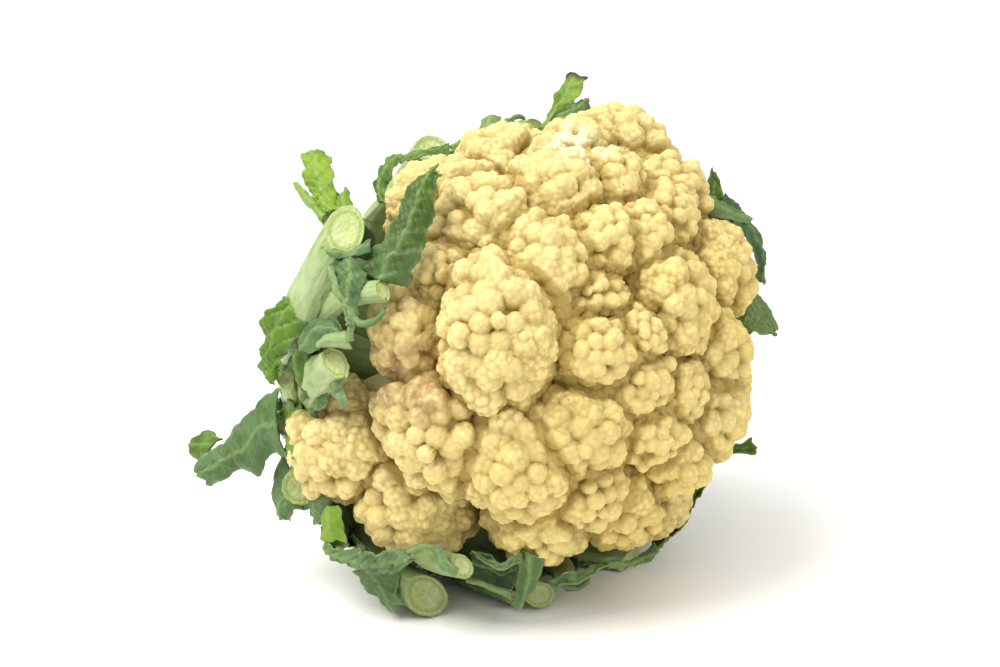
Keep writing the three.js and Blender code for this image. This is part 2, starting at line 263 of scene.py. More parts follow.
# Balls in a spiral round an axis, small at the tip and larger towards the rim.
def spiral(rng, radius, level, axis):
    gap = float(np.clip(level["share"] * radius, *level["range"]))
    cap = math.radians(level["cap"])
    area = 2 * math.pi * radius ** 2 * (1 - math.cos(cap))
    count = max(5, int(area / (0.87 * gap ** 2)))
    n = np.arange(count) + 0.6
    polar = cap * (n / count) ** level["power"]
    turn = np.radians(curd["goldenTurn"]) * n + rng.uniform(0, math.tau)
    pitch = gap * (n / count) ** (level["power"] - 0.5) * 1.06
    polar = np.maximum(polar + rng.normal(0, 0.16, count) * pitch / radius, 0)
    turn = turn + rng.normal(0, 0.16, count) * pitch / (radius * np.maximum(np.sin(polar), 0.2))
    across, up = sideways(axis)
    dirs = (np.sin(polar) * np.cos(turn))[:, None] * across \
        + (np.sin(polar) * np.sin(turn))[:, None] * up + np.cos(polar)[:, None] * axis
    size = np.minimum(pitch * level["size"] * np.exp(rng.normal(0, level["spread"], count)),
                      0.6 * radius)
    top = radius * (1 + rng.normal(0, level["lift"], count))
    return dirs, size, top - size, polar / cap


# Raises the rays to the surface of a ball covered by smaller balls, level by level.
# surface holds height, hull (the ball that carries the buds) and youth (young, crowded buds).
def growBall(rng, rays, ids, surface, centre, radius, axis, depth, age):
    levels = curd["levels"]
    level = levels[depth]
    dirs, sizes, outs, rim = spiral(rng, radius, level, axis)
    centres = centre + dirs * outs[:, None]
    ray = rays[ids]
    core = leave(ray, centre[None], np.array([radius * level["core"]]))[:, 0]
    surface["height"][ids] = np.maximum(surface["height"][ids], core)
    if depth == len(levels) - 1:
        ends = leave(ray, centres, sizes)
        best = ends.max(1)
        better = best > surface["height"][ids]
        own = ids[better]
        surface["height"][own] = best[better]
        surface["youth"][own] = (1 - rim[ends.argmax(1)][better]) * 0.4 + age
        bound = leave(ray, centre[None], np.array([radius]))[:, 0]
        surface["hull"][ids] = np.maximum(surface["hull"][ids], bound)
        return
    for place, size, direction, edge in zip(centres, sizes, dirs, rim):
        far = np.linalg.norm(place)
        limit = math.cos(min(1.5, math.asin(min(0.99, size * 1.08 / far))))
        near = ids[ray @ (place / far) > limit]
        if len(near):
            lean = unit(direction + curd["lobeLean"] * axis)
            growBall(rng, rays, near, surface, place, size, lean, depth + 1,
                     age + (1 - edge) * curd["youngTip"])


def lobedBall(rng, rays, radius, axis):
    surface = {"height": np.full(len(rays), radius * 0.78), "hull": np.zeros(len(rays)),
               "youth": np.zeros(len(rays))}
    growBall(rng, rays, np.arange(len(rays)), surface, np.zeros(3), radius, axis, 0, 0.0)
    return surface["height"], np.maximum(surface["hull"], surface["height"]), surface["youth"]


# The ball of a packed floret: fitted to the points on its round outer side.
def fitBall(points):
    out = np.linalg.norm(points - headCentre, axis=1)
    used = points[out > out.max() - 0.3 * (out.max() - out.min())]
    for _ in range(6):
        rows = np.concatenate((2 * used, np.ones((len(used), 1))), 1)
        answer = np.linalg.lstsq(rows, (used ** 2).sum(1), rcond=None)[0]
        middle = answer[:3]
        radius = math.sqrt(answer[3] + middle @ middle)
        miss = np.abs(np.linalg.norm(points - middle, axis=1) - radius)
        near = points[miss < 0.35 * mm]
        if len(near) < 12:
            break
        used = near
    return middle, radius


def nearSpots(points, spots):
    total = np.zeros(len(points))
    for theta, phi, far, size, strength in spots:
        gap = np.linalg.norm(points - headPoint(theta, phi, far), axis=1) / (size * mm)
        total = np.maximum(total, strength * smooth(1.6 - gap))
    return total


def shownBall(name):
    middle, radius = fitBall(nodePoints(name))
    axis = unit(middle - headCentre)
    fuller = curd["fuller"].get(name[len("floret_"):], 1)
    return (middle - axis * radius * curd["widen"],
            radius * (1 + curd["widen"] + curd["plump"]) * fuller, axis)


# How close points are to the balls of the other florets: 1 on a ball, 0 from a seam's width away.
def seamAt(points, own, balls):
    total = np.zeros(len(points))
    middle, radius, _ = balls[own]
    for other, (centre, size, _) in balls.items():
        if other != own and np.linalg.norm(centre - middle) < radius + size + curd["seamWidth"]:
            gap = np.linalg.norm(points - centre, axis=1) - size
            total = np.maximum(total, smooth(1 - gap / curd["seamWidth"]))
    return total


def makeFloret(name, index, balls, material):
    shortName = name[len("floret_"):]
    rng = np.random.default_rng(curd["seed"] * 1000 + index)
    ballCentre, radius, axis = balls[name]
    across, up = sideways(axis)
    cap = math.radians(curd["capAngle"])
    rings = int(cap * radius / curd["spacing"])
    ring, turn, faces = discGrid(rings)
    polar = cap * ring / rings
    rays = (np.sin(polar) * np.cos(turn))[:, None] * across \
        + (np.sin(polar) * np.sin(turn))[:, None] * up + np.cos(polar)[:, None] * axis
    height, hull, youth = lobedBall(rng, rays, radius, axis)
    # lobes fade out just above the last ring, so that the branch starts smooth
    fade = smooth((cap - polar) / math.radians(curd["fadeAngle"]))
    height = height * fade + radius * curd["waist"] * (1 - fade)
    longest = rng.uniform(0, math.tau)
    stretch = curd["stretch"]
    if shortName in curd["upright"]:
        longest, stretch = math.pi / 2, curd["upright"][shortName]
    oval = 1 + stretch * np.cos(2 * (turn - longest)) * np.sin(polar) ** 2
    height, hull = height * oval, hull * oval
    seam = seamAt(ballCentre + rays * (radius * oval)[:, None], name, balls)
    height = height - curd["seamDepth"] * seam
    points = ballCentre + rays * height[:, None]
    budDepth = hull - height - curd["seamDepth"] * seam
    marks = {
        "seam": seam,
        "lobeHollow": np.clip((radius * oval - hull) / (curd["lobeRelief"] * radius), 0, 1),
        "budHollow": np.clip(budDepth / curd["budRelief"], 0, 1),
        "youth": youth,
        "browned": nearSpots(points, curd["browned"]),
        "scraped": nearSpots(points, curd["scraped"]) * (hull - height < 0.5 * mm),
    }
    # the branch: rings that narrow towards the middle of the head
    last = np.arange(len(points) - 6 * rings, len(points))
    toCore = np.linalg.norm(ballCentre - headCentre) - curd["branchEnd"]
    startDrop = radius * curd["waist"] * math.cos(cap)
    steps = curd["branchSteps"]
    rows, sides = [], []
    previous = last
    base = points[last] - ballCentre
    flat = base - (base @ axis)[:, None] * axis
    branch = min(curd["branchRadius"], curd["branchShare"] * radius)
    narrowest = branch / np.linalg.norm(flat, axis=1).mean()
    for step in range(1, steps + 1):
        share = step / steps
        narrowing = 1 + (narrowest - 1) * smooth(share * 1.15)
        drop = startDrop + (-toCore - startDrop) * share
        rows.append(ballCentre + flat * narrowing + drop * axis)
        ids = len(points) + (step - 1) * len(last) + np.arange(len(last))
        sides.append(np.stack((previous, ids, np.roll(ids, -1), np.roll(previous, -1)), 1))
        previous = ids
    tip = len(points) + steps * len(last)
    fan = np.stack((previous, np.full(len(previous), tip), np.roll(previous, -1)), 1)
    points = np.concatenate([points] + rows + [(ballCentre - toCore * axis)[None]])
    more = len(points) - len(height)
    for mark in marks:
        marks[mark] = np.concatenate((marks[mark], np.zeros(more)))
    bare = np.repeat(smooth(np.arange(1, steps + 1) / 2), len(last))
    marks["branch"] = np.concatenate((np.zeros(len(height)), bare, [1.0]))
    return makePiece("curd_" + shortName, points, [faces, fan, np.concatenate(sides)],
                     material, marks, [name])


def newMaterial(name):
    material = bpy.data.materials.new(name)
    material.use_nodes = True
    return material, material.node_tree, material.node_tree.nodes["Principled BSDF"]


def attribute(tree, name):
    node = tree.nodes.new("ShaderNodeAttribute")
    node.attribute_name = name
    return node.outputs["Fac"]


# Fills a socket: with a number, a colour or what comes out of another node.
def feed(tree, socket, value):
    if isinstance(value, (int, float)):
        socket.default_value = value
    elif isinstance(value, tuple):
        socket.default_value = (*value, 1)
    else:
        tree.links.new(value, socket)


def math2(tree, operation, a, b, clamp=False):
    node = tree.nodes.new("ShaderNodeMath")
    node.operation = operation
    node.use_clamp = clamp
    feed(tree, node.inputs[0], a)
    feed(tree, node.inputs[1], b)
    return node.outputs[0]


def times(tree, a, b, clamp=False):
    return math2(tree, "MULTIPLY", a, b, clamp)


def plus(tree, a, b):
    return math2(tree, "ADD", a, b)


# Places in the object's own coordinates.
def here(tree):
    return tree.nodes.new("ShaderNodeTexCoord").outputs["Object"]


def mixColor(tree, factor, a, b, blend="MIX"):
    node = tree.nodes.new("ShaderNodeMix")
    node.data_type = "RGBA"
    node.blend_type = blend
    for slot, value in ((0, factor), (6, a), (7, b)):
        feed(tree, node.inputs[slot], value)
    return node.outputs[2]


# Smooth random patches: size is in metres, or in the vector's own units if one is given.
def noise(tree, size, detail, vector=None):
    node = tree.nodes.new("ShaderNodeTexNoise")
    node.inputs["Scale"].default_value = 1 / size
    node.inputs["Detail"].default_value = detail
    node.inputs["Roughness"].default_value = 0.55
    tree.links.new(here(tree) if vector is None else vector, node.inputs["Vector"])
    return node.outputs["Fac"]


# A fade of a value through colours; a plain number stands for a grey.
def ramp(tree, factor, stops):
    node = tree.nodes.new("ShaderNodeValToRGB")
    elements = node.color_ramp.elements
    while len(elements) < len(stops):
        elements.new(0.5)
    for element, (place, color) in zip(elements, stops):
        element.position = place
        element.color = (*color, 1) if isinstance(color, tuple) else (color, color, color, 1)
    tree.links.new(factor, node.inputs["Fac"])
    return node.outputs["Color"]


# Cells of a given size in metres, in the object's own coordinates.
def cells(tree, size, feature="F1"):
    node = tree.nodes.new("ShaderNodeTexVoronoi")
    node.feature = feature
    if isinstance(size, float):
        node.inputs["Scale"].default_value = 1 / size
    else:
        tree.links.new(math2(tree, "DIVIDE", 1000.0, size), node.inputs["Scale"])
    tree.links.new(here(tree), node.inputs["Vector"])
    return node


def addBump(tree, shader, height, strength, depth):
    bump = tree.nodes.new("ShaderNodeBump")
    bump.inputs["Strength"].default_value = strength
    bump.inputs["Distance"].default_value = depth
    tree.links.new(height, bump.inputs["Height"])
    tree.links.new(bump.outputs["Normal"], shader.inputs["Normal"])


# depth is light that sinks in: how much, how far each colour goes, and how far in metres.
def addShine(shader, look):
    shader.inputs["Specular IOR Level"].default_value = look["specular"]
    weight, spread, reach = look["depth"]
    shader.inputs["Subsurface Weight"].default_value = weight
    shader.inputs["Subsurface Radius"].default_value = spread
    shader.inputs["Subsurface Scale"].default_value = reach


# A node group with named inputs (name, kind, value) and outputs (name, kind).
def newGroup(name, inputs, outputs):
    group = bpy.data.node_groups.new(name, "ShaderNodeTree")
    for label, kind, value in inputs:
        socket = group.interface.new_socket(name=label, in_out="INPUT", socket_type=kind)
        socket.default_value = (*value, 1) if isinstance(value, tuple) else value
    for label, kind in outputs:
        group.interface.new_socket(name=label, in_out="OUTPUT", socket_type=kind)
    return group, group.nodes.new("NodeGroupInput"), group.nodes.new("NodeGroupOutput")


def useGroup(tree, group, values):
    node = tree.nodes.new("ShaderNodeGroup")
    node.node_tree = group
    for label, value in values.items():
        feed(tree, node.inputs[label], value)
    return node.outputs


# Fibres that run along a stalk: light flesh with darker streaks.
def makeStreakGroup():
    group, given, result = newGroup(
        "stalkStreaks",
        [("Across", "NodeSocketFloat", 0.0), ("Along", "NodeSocketFloat", 0.0),
         ("Light", "NodeSocketColor", (0.5, 0.5, 0.5)),
         ("Dark", "NodeSocketColor", (0.2, 0.2, 0.2))],
        [("Color", "NodeSocketColor"), ("Mask", "NodeSocketFloat")])
    place = group.nodes.new("ShaderNodeCombineXYZ")
    group.links.new(times(group, given.outputs["Across"], 1.6), place.inputs[0])
    group.links.new(times(group, given.outputs["Along"], 0.10), place.inputs[1])
    mask = ramp(group, noise(group, 1.0, 3, place.outputs[0]), [(0.38, 0), (0.68, 1)])
    color = mixColor(group, mask, given.outputs["Light"], given.outputs["Dark"])
    group.links.new(color, result.inputs["Color"])
    group.links.new(mask, result.inputs["Mask"])
    return group


# A cut across a stalk: dots of fibre, paler patches and a green ring under the skin.
def makeCutGroup():
    group, given, result = newGroup(
        "cutFace",
        [("Radial", "NodeSocketFloat", 0.0), ("Fibre Size", "NodeSocketFloat", 1.3),
         ("Flesh", "NodeSocketColor", (0.5, 0.5, 0.3)),
         ("Pale", "NodeSocketColor", (0.7, 0.7, 0.5)),
         ("Ring", "NodeSocketColor", (0.2, 0.3, 0.1))],
        [("Color", "NodeSocketColor"), ("Height", "NodeSocketFloat")])
    fibre = cells(group, given.outputs["Fibre Size"])
    dots = ramp(group, fibre.outputs["Distance"], [(0.15, 1), (0.55, 0)])
    patch = ramp(group, noise(group, 0.005, 3), [(0.40, 0), (0.62, 1)])
    face = mixColor(group, times(group, dots, 0.55), given.outputs["Flesh"],
                    given.outputs["Pale"])
    face = mixColor(group, times(group, patch, 0.6), face, given.outputs["Pale"])
    skin = ramp(group, given.outputs["Radial"],
                [(0.0, 0), (0.60, 0), (0.78, 0.8), (0.88, 0.1), (1.0, 0.75)])
    group.links.new(mixColor(group, skin, face, given.outputs["Ring"]), result.inputs["Color"])
    group.links.new(dots, result.inputs["Height"])
    return group


curdLook = {
    "cream": (0.715, 0.565, 0.195),      # the curd's colour on the side away from the key lamp
    "pale": (0.765, 0.640, 0.305),       # painted highlight: lighter and less yellow on the upper left side, towards the key lamp
    "light": (0.81, 0.705, 0.39),
    "litSideDirection": (-0.52, 0.56, 0.65),
    "litSideRange": (-0.055, 0.030),       # along that direction from the middle of the head, m
    # painted shade for the hollows and seams
    "deep": (0.37, 0.260, 0.060),
    "young": (0.62, 0.480, 0.145),
    "brown": (0.34, 0.215, 0.085),
    "scraped": (0.74, 0.67, 0.42),
    "crack": (0.42, 0.44, 0.14),
    "speck": (0.16, 0.10, 0.05),
    "branch": (0.74, 0.75, 0.46),
    "branchGreen": (0.56, 0.62, 0.30),
    "lobeShade": 0.95,                   # how much of the painted shade colour the hollows take
    "budShade": 0.85,
    "seamShade": 0.85,
    "mottleSize": 0.0035,
    "crackSize": 0.0045,
    "speckSize": 0.0055,
    "grainSize": 1.15 * mm,
    "bump": (0.8, 0.20 * mm),            # strength, depth
    "roughness": 0.62,
    "specular": 0.35,
    "depth": (0.12, (1.0, 0.65, 0.25), 0.0018),
}


def makeCurdMaterial():
    look = curdLook
    material, tree, shader = newMaterial("curd_cream")
    broad = noise(tree, 0.045, 2)
    fine = noise(tree, 0.006, 3)
    # painted highlight: towards the key lamp, up and to the left, the colour fades from "cream" to
    # the lighter "pale"
    along = tree.nodes.new("ShaderNodeVectorMath")
    along.operation = "DOT_PRODUCT"
    tree.links.new(here(tree), along.inputs[0])
    along.inputs[1].default_value = look["litSideDirection"]
    start = float(headCentre @ np.array(look["litSideDirection"]))
    litSide = tree.nodes.new("ShaderNodeMapRange")
    litSide.inputs["From Min"].default_value = start + look["litSideRange"][0]
    litSide.inputs["From Max"].default_value = start + look["litSideRange"][1]
    tree.links.new(along.outputs["Value"], litSide.inputs["Value"])
    color = mixColor(tree, litSide.outputs["Result"], look["cream"], look["pale"])
    color = mixColor(tree, ramp(tree, broad, [(0.45, 0), (0.75, 0.6)]), color, look["light"])
    young = times(tree, attribute(tree, "youth"), plus(tree, fine, 0.25), True)
    color = mixColor(tree, young, color, look["young"])
    # painted shade: the hollows between lobes and between buds, and the strip by a neighbouring
    # floret, darken towards the shade colour
    lobe = times(tree, attribute(tree, "lobeHollow"), look["lobeShade"], True)
    bud = times(tree, attribute(tree, "budHollow"), look["budShade"], True)
    seam = times(tree, attribute(tree, "seam"), look["seamShade"], True)
    deep = math2(tree, "MAXIMUM", math2(tree, "MAXIMUM", lobe, bud), seam)
    color = mixColor(tree, deep, color, look["deep"])
    # browned patches, mottled
    mottle = ramp(tree, noise(tree, look["mottleSize"], 4), [(0.30, 0), (0.62, 1)])
    brown = times(tree, attribute(tree, "browned"), mottle, True)
    color = mixColor(tree, brown, color, look["brown"])
    # where it was scraped: pale, with greenish cracks
    cracks = cells(tree, look["crackSize"], "DISTANCE_TO_EDGE")
    line = ramp(tree, cracks.outputs["Distance"], [(0.02, 1), (0.10, 0)])
    sparse = ramp(tree, noise(tree, 0.009, 2), [(0.48, 0), (0.56, 1)])
    scraped = attribute(tree, "scraped")
    color = mixColor(tree, scraped, color, look["scraped"])
    crack = times(tree, times(tree, line, sparse), scraped)
    color = mixColor(tree, crack, color, look["crack"])
    # rare tiny dark specks
    specks = cells(tree, look["speckSize"])
    dot = ramp(tree, specks.outputs["Distance"], [(0.045, 1), (0.075, 0)])
    rare = ramp(tree, noise(tree, 0.018, 2), [(0.52, 0), (0.60, 1)])
    color = mixColor(tree, times(tree, times(tree, dot, rare), 0.7), color, look["speck"])
    # the branch under the curd
    wood = mixColor(tree, fine, look["branch"], look["branchGreen"])
    color = mixColor(tree, attribute(tree, "branch"), color, wood)
    tree.links.new(color, shader.inputs["Base Color"])
    shader.inputs["Roughness"].default_value = look["roughness"]
    addShine(shader, look)
    # fine buds and grain
    grain = cells(tree, look["grainSize"], "SMOOTH_F1")
    grain.inputs["Smoothness"].default_value = 0.5
    knobs = math2(tree, "SUBTRACT", 1.0, grain.outputs["Distance"])
    height = plus(tree, knobs, times(tree, noise(tree, 0.0006, 2), 0.35))
    addBump(tree, shader, height, *look["bump"])
    return material


leafLook = {
    # tone 0 to 1
    "tones": [(0.0, (0.008, 0.024, 0.004)), (0.25, (0.022, 0.055, 0.012)),
              (0.42, (0.088, 0.158, 0.055)), (0.58, (0.042, 0.085, 0.007)),
              (0.78, (0.095, 0.190, 0.010)), (1.0, (0.200, 0.310, 0.016))],
    "vein": (0.22, 0.33, 0.10),
    "edge": (0.20, 0.28, 0.12),
    "stalk": (0.42, 0.50, 0.27),
    "stalkStreak": (0.25, 0.36, 0.11),
    "cutFace": (0.42, 0.50, 0.18),
    "cutPale": (0.58, 0.63, 0.36),
    "cutRing": (0.24, 0.34, 0.06),
    "cutShade": (0.50, 0.48, 0.45),
    "burnt": (0.045, 0.022, 0.012),
    "fibreSize": 1.3,                    # mm
    "netSize": 0.0024,
    "bump": (0.6, 0.00018),
    "specular": 0.30,
    "depth": (0.08, (0.6, 1.0, 0.15), 0.0016),
}


def makeLeafMaterial():
    look = leafLook
    material, tree, shader = newMaterial("leaf_green")
    uneven = math2(tree, "SUBTRACT", noise(tree, 0.010, 4), 0.5)
    tone = plus(tree, attribute(tree, "tone"), times(tree, uneven, 0.50))
    color = ramp(tree, tone, look["tones"])
    stalk = useGroup(tree, streakGroup, {
        "Across": attribute(tree, "runX"), "Along": attribute(tree, "runY"),
        "Light": look["stalk"], "Dark": look["stalkStreak"]})
    color = mixColor(tree, attribute(tree, "pale"), color, stalk["Color"])
    color = mixColor(tree, times(tree, attribute(tree, "vein"), 0.50), color, look["vein"])
    color = mixColor(tree, times(tree, attribute(tree, "edge"), 0.5), color, look["edge"])
    # a cut end; where the stalk's "pale" value is low, its cut is darkened by painted shade
    face = useGroup(tree, cutGroup, {
        "Radial": attribute(tree, "radial"), "Fibre Size": look["fibreSize"],
        "Flesh": look["cutFace"], "Pale": look["cutPale"], "Ring": look["cutRing"]})
    shadedCut = mixColor(tree, 1.0, face["Color"], look["cutShade"], "MULTIPLY")
    cutLitShare = times(tree, attribute(tree, "pale"), 1.25, True)
    color = mixColor(tree, attribute(tree, "cut"), color,
                     mixColor(tree, cutLitShare, shadedCut, face["Color"]))
    color = mixColor(tree, attribute(tree, "burn"), color, look["burnt"])
    tree.links.new(color, shader.inputs["Base Color"])
    rough = plus(tree, 0.30, times(tree, noise(tree, 0.004, 3), 0.30))
    tree.links.new(rough, shader.inputs["Roughness"])
    addShine(shader, look)
    # a net of small veins, and fibres on the cut
    net = cells(tree, look["netSize"], "DISTANCE_TO_EDGE")
    pads = ramp(tree, net.outputs["Distance"], [(0.0, 0), (0.22, 1)])
    height = plus(tree, times(tree, pads, 0.5),
                   times(tree, noise(tree, 0.0015, 3), 0.6))
    height = plus(tree, height,
                   times(tree, face["Height"], attribute(tree, "cut")))
    addBump(tree, shader, height, *look["bump"])
    return material


stemLook = {
    "skin": (0.46, 0.52, 0.27),
    "streak": (0.33, 0.40, 0.16),
    "flesh": (0.64, 0.62, 0.36),
    "pith": (0.78, 0.77, 0.55),
    "ring": (0.34, 0.42, 0.13),
    "stain": (0.38, 0.25, 0.10),
    "fibreSize": 1.9,                    # mm
    "bump": (0.7, 0.00025),
    "specular": 0.3,
    "depth": (0.2, (0.9, 1.0, 0.4), 0.002),
}


def makeStemMaterial():
    look = stemLook
    material, tree, shader = newMaterial("stem_pale")
    side = useGroup(tree, streakGroup, {
        "Across": attribute(tree, "runX"), "Along": attribute(tree, "runY"),
        "Light": look["skin"], "Dark": look["streak"]})
    face = useGroup(tree, cutGroup, {
        "Radial": attribute(tree, "radial"), "Fibre Size": look["fibreSize"],
        "Flesh": look["flesh"], "Pale": look["pith"], "Ring": look["ring"]})
    color = mixColor(tree, attribute(tree, "cut"), side["Color"], face["Color"])
    # the cut has dried and browned in places, most of all at its rim
    dried = ramp(tree, noise(tree, 0.009, 4), [(0.50, 0), (0.72, 1)])
    rim = ramp(tree, attribute(tree, "radial"), [(0.70, 0.25), (0.98, 0.9)])
    stain = times(tree, times(tree, dried, rim), attribute(tree, "cut"))
    color = mixColor(tree, stain, color, look["stain"])
    tree.links.new(color, shader.inputs["Base Color"])
    rough = plus(tree, 0.5, times(tree, noise(tree, 0.003, 3), 0.25))
    tree.links.new(rough, shader.inputs["Roughness"])
    addShine(shader, look)
    height = plus(tree, times(tree, face["Height"], attribute(tree, "cut")),
                   times(tree, side["Mask"], 0.6))
    height = plus(tree, height, times(tree, noise(tree, 0.0012, 3), 0.5))
    addBump(tree, shader, height, *look["bump"])
    return material


streakGroup = makeStreakGroup()
cutGroup = makeCutGroup()
curdMaterial = makeCurdMaterial()
leafMaterial = makeLeafMaterial()
stemMaterial = makeStemMaterial()
floretNames = sorted(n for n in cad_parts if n.startswith("floret_"))
balls = {name: shownBall(name) for name in floretNames}
for index, name in enumerate(floretNames):
    makeFloret(name, index, balls, curdMaterial)
print("curd made:", len(floretNames), "florets")

# Every leaf grows from the core on a stalk that was cut short, and what is left of its blade
# hangs on the stalk as sheets. A sheet is given by the two edges it spans.
leafStyle = {
    "step": 0.7 * mm,            # mesh step of a sheet
    "thick": 0.75 * mm,
    "coreRadius": 16 * mm,       # where a stalk starts, from the core's axis
    "bellyAt": 0.52,
    "around": 48,                # points round a stalk
    "rodStep": 1.2 * mm,
    "toothGap": 4.2 * mm,        # along a ragged margin
    "wave": 21 * mm,             # of a ruffled margin
    "crumples": (7 * mm, 4.5 * mm),
    "veinGap": 7.5 * mm,
    "veinSlant": 0.75,
    "veinRise": 0.35 * mm,
    "veinHalf": 0.34 * mm,       # half width of a side vein
    "ribHalf": 0.38 * mm,        # and of the midrib at its thin end
    "ribs": 13,                  # ridges along a stalk
    "ribDepth": 0.022,
    "wobble": 0.035,             # how unevenly a stalk is thick
    "cutHollow": 0.9 * mm,       # how far the middle of a cut has dried in
    "cutRim": 0.25 * mm,
    "cutRough": 0.10 * mm,
    "cutRings": (0.97, 0.90, 0.80, 0.68, 0.55, 0.41, 0.27, 0.13),
    "floorGap": 0.15 * mm,
    "seed": 41,
}

